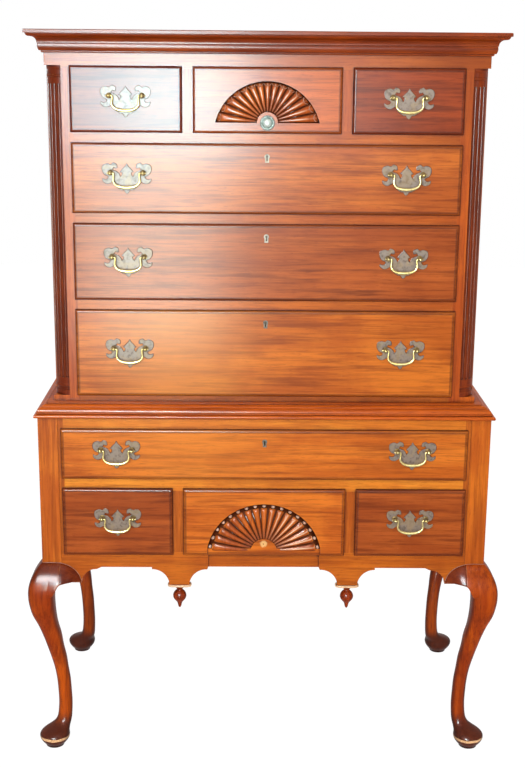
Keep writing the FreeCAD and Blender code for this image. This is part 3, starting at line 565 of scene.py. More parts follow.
# the way the grain runs, light, middle and dark colour, strength of the streaks, and a shift that
# gives each wood a figure of its own
woodColumns = ("along", "light", "middle", "dark", "figure", "shift")
woodTable = {
    "caseUpright": ("z", (0.66, 0.165, 0.01), (0.48, 0.096, 0.006), (0.22, 0.034, 0.002),
                    0.6, (0.0, 0.0, 0.0)),
    "caseLevel": ("x", (0.82, 0.28, 0.022), (0.68, 0.185, 0.013), (0.3, 0.055, 0.004),
                  0.5, (0.3, 0.2, 0.1)),
    "upperUpright": ("z", (0.58, 0.115, 0.007), (0.43, 0.072, 0.005), (0.18, 0.024, 0.002),
                     0.6, (0.6, 0.0, 0.2)),
    "upperLevel": ("x", (0.58, 0.135, 0.010), (0.44, 0.086, 0.007), (0.19, 0.028, 0.002),
                   0.5, (0.9, 0.6, 0.3)),
    "lowerUpright": ("z", (0.54, 0.125, 0.008), (0.39, 0.076, 0.005), (0.17, 0.026, 0.002),
                     0.5, (0.2, 0.8, 0.4)),
    "firstDrawer": ("x", (0.58, 0.145, 0.014), (0.44, 0.092, 0.008), (0.16, 0.024, 0.003),
                    0.8, (1.3, 0.4, 0.7)),
    "secondDrawer": ("x", (0.46, 0.1, 0.012), (0.34, 0.064, 0.007), (0.12, 0.018, 0.002),
                     0.8, (1.9, 0.7, 0.1)),
    "thirdDrawer": ("x", (0.64, 0.165, 0.012), (0.46, 0.098, 0.007), (0.18, 0.028, 0.002),
                    0.8, (2.3, 0.1, 0.2)),
    "lowerDrawer": ("x", (0.68, 0.175, 0.013), (0.5, 0.106, 0.007), (0.2, 0.032, 0.003),
                    0.7, (3.4, 0.6, 0.5)),
    "smallUpper": ("x", (0.32, 0.048, 0.006), (0.22, 0.03, 0.004), (0.08, 0.01, 0.002),
                   0.8, (3.1, 0.9, 0.3)),
    "smallLower": ("x", (0.42, 0.086, 0.01), (0.31, 0.055, 0.006), (0.12, 0.017, 0.002),
                   0.8, (4.1, 0.2, 0.6)),
    "carvedUpper": ("x", (0.58, 0.12, 0.012), (0.42, 0.075, 0.007), (0.15, 0.02, 0.002),
                    0.6, (4.2, 0.5, 0.8)),
    "carvedLower": ("x", (0.68, 0.168, 0.012), (0.5, 0.102, 0.007), (0.19, 0.028, 0.003),
                    0.7, (4.9, 0.3, 0.4)),
    "legWood": ("z", (0.52, 0.08, 0.001), (0.3, 0.034, 0.0006), (0.09, 0.008, 0.0004),
                0.5, (5.2, 0.6, 0.4)),
    "columnWood": ("z", (0.25, 0.037, 0.005), (0.16, 0.021, 0.003), (0.07, 0.008, 0.002),
                   0.5, (6.2, 0.3, 0.9)),
    "mouldingWood": ("x", (0.34, 0.054, 0.004), (0.23, 0.031, 0.003), (0.08, 0.01, 0.001),
                     0.6, (7.0, 0.2, 0.6)),
    "apronWood": ("x", (0.58, 0.14, 0.008), (0.43, 0.086, 0.005), (0.19, 0.029, 0.002),
                  0.6, (9.0, 0.4, 0.2)),
    "waistWood": ("x", (0.56, 0.105, 0.006), (0.40, 0.062, 0.004), (0.15, 0.020, 0.002),
                  0.6, (7.6, 0.3, 0.9)),
    "kneeWood": ("x", (0.2, 0.027, 0.002), (0.115, 0.013, 0.0015), (0.05, 0.005, 0.001),
                 0.5, (6.6, 0.5, 0.1)),
    "dropWood": ("z", (0.28, 0.035, 0.003), (0.16, 0.016, 0.002), (0.05, 0.005, 0.001),
                 0.5, (6.9, 0.4, 0.7)),
    "ribWood": ("z", (0.6, 0.125, 0.008), (0.4, 0.068, 0.005), (0.16, 0.022, 0.003),
                0.4, (8.6, 0.3, 0.3)),
    # pale raised lines on the knees and fan bites: painted highlight
    "rubbedWood": ("x", (0.55, 0.25, 0.14), (0.42, 0.17, 0.09), (0.20, 0.06, 0.03),
                   0.5, (6.1, 0.5, 0.6)),
    # dark sheet of painted shade under the fan ribs and about the plates
    "fanGround": ("x", (0.26, 0.066, 0.02), (0.19, 0.046, 0.014), (0.09, 0.018, 0.006),
                  0.4, (8.3, 0.2, 0.5)),
    "capWood": ("x", (0.90, 0.66, 0.44), (0.80, 0.52, 0.30), (0.42, 0.18, 0.08),
                0.4, (9.6, 0.1, 0.4)),
    # pale beads: painted highlight
    "beadWood": ("z", (0.8, 0.52, 0.38), (0.68, 0.38, 0.25), (0.28, 0.1, 0.06),
                 0.4, (8.9, 0.8, 0.2)),
}
woodSettings = {name: dict(zip(woodColumns, row)) for name, row in woodTable.items()}

# polish of all the mahogany; lengths in metres
polishSettings = {
    "roughness": 0.38, "roughShare": 0.10, "specular": 0.017, "coat": 0.14, "coatRoughness": 0.19,
    "relief": (0.12, 0.0006), "arris": 0.0009, "reach": 0.012,
    # colour and strength of the painted shade in corners, hollows and carvings
    "cornerColor": (0.030, 0.005, 0.003), "cornerDark": 0.95, "carvedDark": 0.45,
    "rubColor": (0.62, 0.28, 0.10), "edgeShare": 0.45, "spotShare": 0.125,
    # dark colour of painted shade in the fan veins and a small hole; pale colour of the painted
    # highlight on fan crests
    "veinColor": (0.15, 0.038, 0.012), "crestColor": (0.95, 0.66, 0.42),
    "hubColor": (0.20, 0.062, 0.034),
    # golden painted sheen on two drawer fronts, and the colour of a darker patch
    "honeyColor": (0.86, 0.34, 0.045), "agedColor": (0.20, 0.030, 0.006),
    # painted shade on the legs: its colour, and where faces that look left and right darken
    "wornColor": (0.80, 0.48, 0.18), "sideColor": (0.020, 0.004, 0.002), "sideFrom": (0.45, 1.0),
    "footColor": (0.060, 0.015, 0.008), "footRing": (0.85, 0.50, 0.25),
    # patches of another colour (painted sheen on two drawer fronts, a darker patch on the upper
    # frame): ragged edge, where they are whole, and their share over and between the pores
    "tintNoise": (9.0, 3.0, 0.6), "tintRagged": 0.10, "tintWhole": 0.05,
    "tintGrain": (0.15, 0.75, 0.55, 1.0),
    # fans: how dark hub and veins get (painted shade in the veins), where crests turn pale, their
    # share off the bright spot (a painted highlight)
    "hubDark": 0.6, "veinFull": 0.86, "veinDark": 0.88, "crestFrom": (0.30, 0.02),
    "leanFrom": (-0.1, 0.7), "spotLeast": 0.15,
    # moulded edge of a drawer front: where its lip, inner line and rim lie, and how dark they are
    # (the line and rim are painted shade)
    "lip": (0.0074, 0.0060), "lipDark": 0.42, "lineAt": 0.0066, "line": (0.0022, 0.0006),
    "lineDark": 0.328, "rim": (0.0026, 0.0004), "rimDark": 0.82,
}


# 1 on the upright boards of a frame: bands of distance from the middle
def uprightMask(tree, place, bands):
    x, y, z = axes(tree, place)
    away = mathNode(tree, "ABSOLUTE", x)
    mask = 0.0
    for near, far, bottom, top in bands:
        inside = times(tree, mathNode(tree, "GREATER_THAN", away, near),
                       mathNode(tree, "LESS_THAN", away, far),
                       mathNode(tree, "GREATER_THAN", z, bottom),
                       mathNode(tree, "LESS_THAN", z, top))
        mask = most(tree, mask, inside)
    return mask


# a ragged patch of another colour about an upright line, strongest between the pores: painted sheen
# on two drawer fronts, a darker patch on the upper frame
def addTint(tree, place, color, relief, s, common):
    x, y, z = axes(tree, place)
    ragged = times(tree, noise(tree, place, *common["tintNoise"]), common["tintRagged"])
    away = plus(tree, apart(tree, x, s["at"]), ragged)
    patch = times(tree, remap(tree, away, s["reach"], common["tintWhole"], 0.0, s["share"]),
                  remap(tree, relief, *common["tintGrain"]))
    if "above" in s:
        patch = times(tree, patch, remap(tree, z, s["above"], s["above"] + s["fade"]))
    return mixColor(tree, patch, color, common[s["color"]])


# a fan's ribs: dusky at the hub, painted shade in the veins, and a painted highlight on the crests,
# brightest at one place along them and, on the lower fan, mostly on the right
def shadeFan(tree, place, color, s, common):
    ribs = placeGroup(tree, fanGroup, {"Hub": s["hub"], "Pitch": s["pitch"]}, place)
    nearHub = remap(tree, ribs["Out"], s["hubEnd"], s["hubStart"], 0.0, common["hubDark"])
    color = mixColor(tree, nearHub, color, common["hubColor"])
    # painted shade in the veins between the ribs
    vein = remap(tree, ribs["Side"], s["veinFrom"], common["veinFull"], 0.0, common["veinDark"])
    color = mixColor(tree, vein, color, common["veinColor"])
    # painted highlight on the crests
    fromHighlight = apart(tree, ribs["Out"], s["spotAt"])
    highlightSpot = remap(tree, fromHighlight, s["spotLength"], 0.0, common["spotLeast"], 1.0)
    highlightLean = remap(tree, ribs["Lean"], *common["leanFrom"], s["leftShare"], 1.0)
    crest = times(tree, remap(tree, ribs["Side"], *common["crestFrom"]), highlightSpot, highlightLean, s["crest"])
    return mixColor(tree, crest, color, common["crestColor"])


# a leg: dark foot with a pale ring in front, painted shade on the top of the knee, stronger on the
# left, and duskier rear legs
def shadeLeg(tree, place, color, s, common):
    x, y, z = axes(tree, place)
    low = remap(tree, z, s["darkTop"], s["darkFull"], 0.0, s["darkShare"])
    color = mixColor(tree, low, color, common["footColor"])
    uneven = times(tree, noise(tree, place, *s["ringNoise"]), s["ringUneven"])
    fromRing = apart(tree, plus(tree, z, uneven), s["ring"])
    ring = remap(tree, fromRing, s["ringHalf"], s["ringHalf"] / 2)
    inFront = mathNode(tree, "LESS_THAN", y, 0.0)
    # painted shade on the top of the knee, stronger on the left
    knee = times(tree, remap(tree, z, s["kneeLow"], s["kneeHigh"], 0.0, s["kneeShade"]),
                 remap(tree, x, *s["kneeFrom"], 1.0, s["kneeRight"]))
    color = mixColor(tree, knee, color, common["sideColor"])
    behind = times(tree, minus(tree, 1.0, inFront), s["rearShade"])
    color = mixColor(tree, behind, color, common["footColor"])
    return mixColor(tree, times(tree, ring, inFront), color, common["footRing"])


# dark lines along the moulded edge of a drawer front with its low and high corners: painted shade
# at the inner step and at the rim, and a darker lip
def shadeLip(tree, place, color, panel, s):
    edges = placeGroup(tree, panelGroup, {"Low": tuple(panel[0]), "High": tuple(panel[1])}, place)
    inwards = edges["Inwards"]
    lip = remap(tree, inwards, *s["lip"], 0.0, s["lipDark"])
    line = remap(tree, apart(tree, inwards, s["lineAt"]), *s["line"], 0.0, s["lineDark"])
    rim = remap(tree, inwards, *s["rim"], 0.0, s["rimDark"])
    return mixColor(tree, most(tree, most(tree, lip, line), rim), color, s["cornerColor"])


# a worn round spot with a small dark hole painted in as shade
def addWornSpot(tree, place, color, s, common):
    x, y, z = axes(tree, vectorNode(tree, "SUBTRACT", place, s["at"]))
    ragged = times(tree, noise(tree, place, *s["noise"]), s["ragged"])
    away = plus(tree, length(tree, x, z), ragged)
    worn = remap(tree, away, s["reach"] + s["blur"], s["reach"], 0.0, s["share"])
    color = mixColor(tree, worn, color, common["wornColor"])
    # painted shade of a small hole
    return mixColor(tree, remap(tree, away, *s["hole"]), color, common["veinColor"])


def makeMahogany(name, s, common, panel=None, bands=None, upright=None, fan=None, leg=None,
                 worn=None, tint=None):
    mat, tree, shader, place = newMaterial(name)

    def grainOf(wood):
        return placeGrain(tree, wood, grainAlong[wood["along"]],
                          vectorNode(tree, "ADD", place, wood["shift"]))

    grain = grainOf(s)
    color = grain["Color"]
    if bands:
        color = mixColor(tree, uprightMask(tree, place, bands), color, grainOf(upright)["Color"])
    if tint:
        color = addTint(tree, place, color, grain["Relief"], tint, common)
    if fan:
        color = shadeFan(tree, place, color, fan, common)
    if leg:
        color = shadeLeg(tree, place, color, leg, common)
    wearShade = placeWearShade(tree, common, place)
    # painted shade in corners and hollows, found by occlusion
    dark = common["carvedDark" if fan or name == "fanGround" else "cornerDark"]
    color = mixColor(tree, times(tree, wearShade["Corner"], dark), color, common["cornerColor"])
    if panel:
        color = shadeLip(tree, place, color, panel, common)
    color = wearAway(tree, wearShade, color, common)
    if worn:
        color = addWornSpot(tree, place, color, worn, common)
    # painted shade on the faces that look left and right
    if leg:
        facing = axes(tree, tree.nodes.new("ShaderNodeTexCoord").outputs["Normal"])[0]
        across = mathNode(tree, "ABSOLUTE", facing)
        color = mixColor(tree, remap(tree, across, *common["sideFrom"], 0.0, leg["sideShade"]),
                         color, common["sideColor"])
    dress(tree, shader, color, common, grain["Shine"], grain["Relief"], wearShade["Normal"])
    return mat


# plain soft wood of the drawer boxes, runners and backs
innerSettings = {
    "along": "x", "grain": (0.9, 11.0, 11.0), "light": (0.62, 0.37, 0.15),
    "middle": (0.48, 0.25, 0.085), "dark": (0.25, 0.11, 0.035), "figure": 0.45,
    # the corner colour and its share are painted shade in corners and hollows
    "reach": 0.03, "arris": 0.0008, "cornerColor": (0.09, 0.05, 0.025), "cornerDark": 0.6,
    "rubColor": (0.62, 0.46, 0.28), "edgeShare": 0.4,
    "roughness": 0.62, "roughShare": 0.12, "specular": 0.10, "relief": (0.35, 0.001),
}


def makeInnerWood(name, s):
    mat, tree, shader, place = newMaterial(name)
    grain = placeGrain(tree, s, s["grain"], place)
    wearShade = placeWearShade(tree, s, place)
    # painted shade in corners and hollows
    color = mixColor(tree, times(tree, wearShade["Corner"], s["cornerDark"]), grain["Color"],
                     s["cornerColor"])
    color = wearAway(tree, wearShade, color, s)
    dress(tree, shader, color, s, grain["Shine"], grain["Relief"], wearShade["Normal"])
    return mat


# what all the brass shares, then each finish's bright and dull colour, roughness, and the share of
# bare metal under the tarnish
brassWear = {
    "reach": 0.004, "arris": 0.0005, "cloud": (140.0, 4.0, 0.6, 0.4),
    "dullFrom": (0.45, 0.68), "patch": (42.0, 2.0, 0.5, 0.6), "warmFrom": (0.46, 0.60),
    "rubColor": (0.72, 0.60, 0.34), "edgeShare": 0.4, "roughShare": 0.22, "specular": 0.12,
    "relief": (0.10, 0.0002),
}
brassSettings = {
    "plateBrass": {"bright": (0.195, 0.135, 0.098), "dull": (0.115, 0.074, 0.051),
                   "warm": (0.25, 0.155, 0.068), "warmShare": 0.5, "roughness": 0.50, "metal": 0.05,
                   "coat": 0.11, "coatRoughness": 0.19},
    "postBrass": {"bright": (0.20, 0.125, 0.035), "dull": (0.05, 0.027, 0.009), "roughness": 0.40,
                  "metal": 0.12},
    "bailBrass": {"bright": (0.46, 0.36, 0.155), "dull": (0.29, 0.205, 0.072),
                  "warm": (0.44, 0.31, 0.092), "warmShare": 0.5, "roughness": 0.26, "metal": 0.45},
    # a paler copy of the keyhole brass: painted glare on the upper drawers' keyholes
    "keyBrass": {"bright": (0.46, 0.40, 0.31), "dull": (0.30, 0.25, 0.18),
                 "warm": (0.44, 0.34, 0.19), "warmShare": 0.3, "roughness": 0.50, "metal": 0.05},
    "keyDull": {"bright": (0.13, 0.10, 0.068), "dull": (0.07, 0.05, 0.03), "roughness": 0.50,
                "metal": 0.1},
    "rosetteBrass": {"bright": (0.34, 0.40, 0.36), "dull": (0.13, 0.17, 0.15), "roughness": 0.40,
                     "metal": 0.2},
    "rosettePale": {"bright": (0.50, 0.54, 0.49), "dull": (0.36, 0.40, 0.36), "roughness": 0.40,
                    "metal": 0.1},
}


def makeBrass(name, s):
    mat, tree, shader, place = newMaterial(name)
    wearShade = placeWearShade(tree, s, place)
    cloud = noise(tree, place, *s["cloud"])
    dull = most(tree, remap(tree, cloud, *s["dullFrom"]), wearShade["Corner"])
    color = mixColor(tree, dull, s["bright"], s["dull"])
    if "warm" in s:
        patch = remap(tree, noise(tree, place, *s["patch"]), *s["warmFrom"], 0.0, s["warmShare"])
        color = mixColor(tree, patch, color, s["warm"])
    color = wearAway(tree, wearShade, color, s)
    shader.inputs["Metallic"].default_value = s["metal"]
    dress(tree, shader, color, s, dull, cloud, wearShade["Normal"])
    return mat


# shades of a leg: foot, its ring, rear legs, painted shade on the knee's top, and painted shade on
# the faces that look left and right
legShades = {
    "darkTop": 0.085, "darkFull": 0.046, "darkShare": 0.88, "ring": 0.0270, "ringHalf": 0.0040,
    "ringNoise": (60.0, 2.0), "ringUneven": 0.004, "rearShade": 0.28,
    "kneeLow": 0.416, "kneeHigh": 0.446, "kneeShade": 0.62, "kneeFrom": (-0.1, 0.1),
    "kneeRight": 0.3, "sideShade": 0.62,
}
woods = {}


# a wood that several pieces may share, made when it is first asked for
def woodOf(name):
    if name not in woods:
        woods[name] = makeMahogany(name, woodSettings[name], polishSettings,
                                   leg=legShades if name == "legWood" else None)
    return woods[name]


# upright boards in the frames: near, far, bottom and top of each band, in metres
frameBands = {
    "upper_front_frame": ((0.1535, 0.1878, 1.445, 1.572), (0.4155, 0.50, 0.80, 1.572)),
    "lower_front_frame": ((0.178, 0.2133, 0.496, 0.644), (0.451, 0.47, 0.40, 0.90)),
}
frameUprights = {"upper_front_frame": "upperUpright", "lower_front_frame": "lowerUpright"}
fanPlaces = {
    "top_centre_front": {
        "hub": (0.0, 0.0, 1.4618), "pitch": math.pi / 15, "veinFrom": 0.42, "crest": 0.62,
        "hubStart": 0.024, "hubEnd": 0.058, "spotAt": 0.068, "spotLength": 0.024, "leftShare": 1.0},
    "lower_centre_front": {
        "hub": (0.0, 0.0, 0.4996), "pitch": math.pi / 17, "veinFrom": 0.34, "crest": 0.85,
        "hubStart": 0.034, "hubEnd": 0.074, "spotAt": 0.080, "spotLength": 0.050,
        "leftShare": 0.05},
}
# patches of another colour: painted sheen on the left of two drawer fronts, a darker patch high on
# the right of the upper frame
tintPlaces = {
    "upper_third_front": {"at": -0.20, "reach": 0.30, "share": 0.62, "color": "honeyColor"},
    "lower_long_front": {"at": -0.17, "reach": 0.30, "share": 0.28, "color": "honeyColor"},
    "upper_front_frame": {"at": 0.50, "reach": 0.56, "share": 1.0, "color": "agedColor",
                          "above": 1.34, "fade": 0.16},
}
wornPlaces = {
    "lower_centre_front": {"at": (-0.0006, 0.0, 0.5180), "reach": 0.0095, "blur": 0.004,
                           "share": 0.85, "noise": (220.0, 3.0, 0.7), "ragged": 0.008,
                           "hole": (0.0058, 0.0050)},
}
innerWood = makeInnerWood("innerWood", innerSettings)
brasses = {name: makeBrass(name, {**brassWear, **s}) for name, s in brassSettings.items()}
print("materials ready")

# which finish each CAD node gets
nodeFinish = {
    "upper_sides": "upperUpright", "lower_sides": "caseUpright",
    "upper_front_frame": "upperLevel", "lower_front_frame": "caseLevel",
    "upper_top": "mouldingWood", "apron": "apronWood", "cornice": "mouldingWood",
    "waist_moulding": "waistWood", "quarter_columns": "columnWood", "front_legs": "legWood",
    "rear_legs": "legWood", "knee_blocks": "legWood", "pendants": "legWood",
    "top_left_front": "smallUpper", "top_right_front": "smallUpper",
    "top_centre_front": "carvedUpper", "upper_first_front": "firstDrawer",
    "upper_second_front": "secondDrawer", "upper_third_front": "thirdDrawer",
    "lower_long_front": "lowerDrawer", "lower_left_front": "smallLower",
    "lower_right_front": "smallLower", "lower_centre_front": "carvedLower",
}
for name, obj in nodes.items():
    wood = woodSettings.get(nodeFinish.get(name))
    if name in frameBands:
        setMaterial(obj, makeMahogany(name + "Wood", wood, polishSettings, bands=frameBands[name],
                                      upright=woodSettings[frameUprights[name]],
                                      tint=tintPlaces.get(name)))
    elif name.endswith("_front"):
        setMaterial(obj, makeMahogany(name + "Wood", wood, polishSettings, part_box(name),
                                      worn=wornPlaces.get(name), tint=tintPlaces.get(name)))
    elif name in nodeFinish:
        setMaterial(obj, woodOf(nodeFinish[name]))
    elif "_bail" in name:
        setMaterial(obj, brasses["bailBrass"])
    elif name.endswith("_knob"):
        setMaterial(obj, brasses["rosetteBrass"])
    elif name.endswith("_brass"):
        setMaterial(obj, brasses["plateBrass"])
    else:
        setMaterial(obj, innerWood)
print("finishes placed on", len(nodes), "nodes")

# cabriole legs, turned outwards at the knee and in at the ankle
legSettings = {
    "corner": (508.0, 270.0), "post": 45.0, "ease": 0.8, "postFoot": 440.0, "postTop": 814.0,
    # knee: height, half width, squareness
    "knee": [(469.0, 22.5, 12.0), (464.0, 23.4, 9.0), (458.0, 24.6, 7.0), (450.0, 26.0, 6.0),
             (442.0, 27.3, 5.4), (434.0, 28.4, 5.0), (426.0, 29.2, 4.8), (417.0, 29.8, 4.5),
             (407.0, 30.0, 4.1), (396.0, 29.9, 3.7)],
    "kneeTop": 469.0, "kneeWhole": 73.0, "kneeBulge": 33.2,
    # height, half width, shift outwards, squareness
    "stations": [(377.0, 29.4, 25.6, 3.2), (346.0, 27.0, 22.0, 3.0), (315.0, 22.8, 14.7, 2.8),
                 (285.0, 21.2, 7.3, 2.6), (254.0, 19.0, 1.5, 2.4), (224.0, 18.0, -4.5, 2.2),
                 (193.0, 16.2, -9.3, 2.1), (162.0, 16.0, -13.0, 2.0), (131.0, 15.8, -14.7, 2.0),
                 (99.0, 16.0, -15.5, 2.0), (68.0, 16.8, -13.5, 2.0), (54.0, 19.0, -9.5, 2.0),
                 (46.0, 23.5, -3.0, 2.0), (38.0, 30.6, 5.2, 2.0), (32.0, 34.2, 8.4, 2.0),
                 (26.0, 35.4, 9.0, 2.0), (19.0, 33.6, 9.0, 2.0), (11.0, 28.4, 9.0, 2.0),
                 (5.0, 23.0, 9.0, 2.0), (1.2, 21.6, 9.0, 2.0), (0.0, 21.0, 9.0, 2.0)],
    "ringPoints": 56, "stepsBetween": 4,
}


# how far the knee stands out below its top, 0 to 1
def kneeCurve(share, swell=0.8):
    return math.sin(math.pi / 2 * min(max(share, 0.0), 1.0) ** swell)


def legStations(s):
    rows = []
    for z, half, square in s["knee"]:
        out = s["kneeBulge"] * kneeCurve((s["kneeTop"] - z) / s["kneeWhole"])
        rows.append((z, half, out + s["post"] / 2 - half, square))
    return rows + s["stations"]


# a circle of unit size drawn out towards a square
def softSquare(count, power):
    return [(math.copysign(abs(c) ** power, c), math.copysign(abs(n) ** power, n))
            for c, n in circle(count, 0.5)]


def legRing(s, z, half, shift, square):
    cx = s["corner"][0] - s["post"] / 2 + shift
    cy = -(s["corner"][1] - s["post"] / 2 + shift)
    return [(cx + half * c, cy + half * n, z) for c, n in softSquare(s["ringPoints"], 2 / square)]


def makeLegs(s):
    (x1, y1), post, ease = s["corner"], s["post"], s["ease"]
    rings = []
    for z, cut in ((s["postFoot"], ease), (s["postFoot"] + ease, 0), (s["postTop"], 0)):
        a, b, c, d = x1 - post + cut, x1 - cut, -y1 + cut, -y1 + post - cut
        rings.append([(a + ease, c, z), (b - ease, c, z), (b, c + ease, z), (b, d - ease, z),
                      (b - ease, d, z), (a + ease, d, z), (a, d - ease, z), (a, c + ease, z)])
    square = skinRings(rings)
    shank = skinRings([legRing(s, *row) for row in flow(legStations(s), s["stepsBetween"])])
    for name, turns in (("front", (lambda v: v, mirrorX)),
                        ("rear", (mirrorY, lambda v: mirrorX(mirrorY(v))))):
        posts = joinShells(name + "Posts", [movedShell(square, t) for t in turns], False)
        setMaterial(posts, woodOf("caseUpright"))
        legs = joinShells(name + "Cabrioles", [movedShell(shank, t) for t in turns])
        setMaterial(legs, woodOf("legWood"))
        for piece in (posts, legs):
            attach(piece, "case")
        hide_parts(name + "_legs")
        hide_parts(name + "_legs")


makeLegs(legSettings)
print("legs ready")

# knee blocks: they carry the knee's roundness along the apron and the side
kneeSettings = {
    # start is the inner side of the post; facePlane and back are the block's front and back
    "start": 463.0, "facePlane": 270.0, "back": 250.0,
    # distance from the post, top edge, bottom edge, height of the whole curve, its bulge, and how
    # far it sinks
    "rows": [(-36.0, 469.0, 398.0, 73.0, 33.2, 0.6), (-28.0, 469.0, 398.0, 73.0, 33.2, 0.12),
             (-20.0, 469.0, 399.0, 73.0, 33.2, 0.0), (-14.6, 468.9, 408.0, 73.0, 33.2, 0.0),
             (-9.0, 468.5, 419.6, 72.6, 33.0, 0.0), (-4.0, 467.8, 424.6, 71.6, 32.5, 0.0),
             (1.0, 466.8, 426.2, 69.6, 31.6, 0.0), (10.0, 463.8, 427.4, 62.0, 27.5, 0.0),
             (18.0, 460.0, 427.4, 51.0, 21.0, 0.0), (26.0, 454.4, 427.0, 40.0, 13.6, 0.0),
             (33.0, 447.4, 426.0, 30.0, 7.8, 0.0), (39.0, 438.0, 424.0, 18.0, 3.2, 0.0),
             (43.4, 426.0, 419.5, 8.0, 0.7, 0.0)],
    "across": 18, "stepsBetween": 4, "seam": -3.0, "overlap": 1.3,
    # how far the low part over the leg is tucked in, from which share of its height, up to where
    "tuck": 0.3, "tuckFrom": 0.8, "tuckEnd": -18.0,
    # lower lip: most depth, share of the height, how far it turns in; the top lies a little back
    "lipMost": 3.0, "lipShare": 0.25, "lipIn": 1.4, "topIn": 1.0,
    # raised line along the top, pale as a painted highlight
    "lipRadius": 0.75, "lipPoints": 6, "lipStart": 44.0, "lipOut": 0.3,
}


def makeKneeBlocks(s):
    plane, across = s["facePlane"], s["across"]
    rings, tops = [], []
    for away, top, bottom, whole, bulge, sink in flow(s["rows"], s["stepsBetween"]):
        x = s["start"] - away
        ring = []
        for k in range(across + 1):
            t = k / across
            tuck = s["tuck"] * max(0.0, (t - s["tuckFrom"]) / (1 - s["tuckFrom"]))
            out = bulge * kneeCurve(t * (top - bottom) / whole) - sink
            out -= tuck * (away < s["tuckEnd"])
            ring.append((x, -(plane + out), top + (bottom - top) * t))
        low = bottom - min(s["lipMost"], s["lipShare"] * (top - bottom)) / 2
        ring += [(x, -(plane + out - s["lipIn"]), low), (x, -s["back"], low),
                 (x, -s["back"], top), (x, -(plane - s["topIn"]), top)]
        rings.append((away, ring))
        tops.append((x, top, s["lipRadius"]))
    onLeg = skinRings([ring for away, ring in rings if away <= s["seam"]])
    block = skinRings([ring for away, ring in rings if away >= s["seam"] - s["overlap"]])
    # thin rounded lip along the top of the knee and down the arch, pale as a painted highlight
    tops.insert(0, (s["start"] + s["lipStart"], *tops[0][1:]))
    lip = barShell(tops, s["lipPoints"], lambda a, b, h: (a, -(plane + s["lipOut"] + h), b))
    axisX, axisY = (corner - legSettings["post"] / 2 for corner in legSettings["corner"])

    # mirror in the leg's diagonal
    def toSide(v):
        return axisX - axisY - v[1], -axisY + axisX - v[0], v[2]

    for label, front, wood in (("kneeFaces", onLeg, "legWood"), ("kneeBlocks", block, "kneeWood"),
                               ("kneeLips", lip, "rubbedWood")):
        side = movedShell(front, toSide)
        shells = []
        for shell in (front, side, movedShell(side, mirrorY)):
            shells += bothSides(shell)
        piece = joinShells(label, shells)
        setMaterial(piece, woodOf(wood))
        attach(piece, "case")
        if label == "kneeBlocks":
            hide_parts("knee_blocks")


makeKneeBlocks(kneeSettings)
print("knee blocks ready")

# turned drops under the apron
dropSettings = {
    "x": 193.8, "y": -260.0, "capLow": 409.6, "capHigh": 415.0, "capHalf": 27.6, "capFront": 14.6,
    "capSteps": 8, "capPoints": 40, "capPower": 0.55,
    # radius, distance under the cap
    "profile": [(13.6, 0.0), (12.8, 1.4), (9.8, 4.0), (7.2, 6.8), (6.6, 8.6), (7.6, 10.6),
                (10.8, 13.6), (13.8, 17.8), (15.3, 22.8), (15.2, 27.2), (13.4, 31.8), (10.2, 36.0),
                (7.2, 39.6), (5.4, 43.0), (4.5, 46.4), (3.9, 49.4), (2.8, 52.4), (1.2, 54.4),
                (0.2, 54.8)],
    "sunk": 0.4, "points": 32,
}


def makeDrops(s):
    rings = []
    thick = (s["capHigh"] - s["capLow"]) / 2
    for k in range(s["capSteps"] + 1):
        turn = math.pi * k / s["capSteps"] - math.pi / 2
        z = s["capLow"] + thick + thick * math.sin(turn)
        cut = thick * (1 - math.cos(turn))
        rings.append([(s["x"] + (s["capHalf"] - cut) * c, s["y"] + (s["capFront"] - cut) * n, z)
                      for c, n in softSquare(s["capPoints"], s["capPower"])])
    place = (s["x"], s["y"], s["capLow"] + s["sunk"])
    drop = turnedShell(flow(s["profile"], 3), place, (0, 0, -1), s["points"])
    caps = joinShells("dropCaps", bothSides(skinRings(rings)))
    drops = joinShells("turnedDrops", bothSides(drop))
    setMaterial(caps, woodOf("capWood"))
    setMaterial(drops, woodOf("dropWood"))
    for piece in (caps, drops):
        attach(piece, "case")
        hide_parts("pendants")


makeDrops(dropSettings)
print("drops ready")

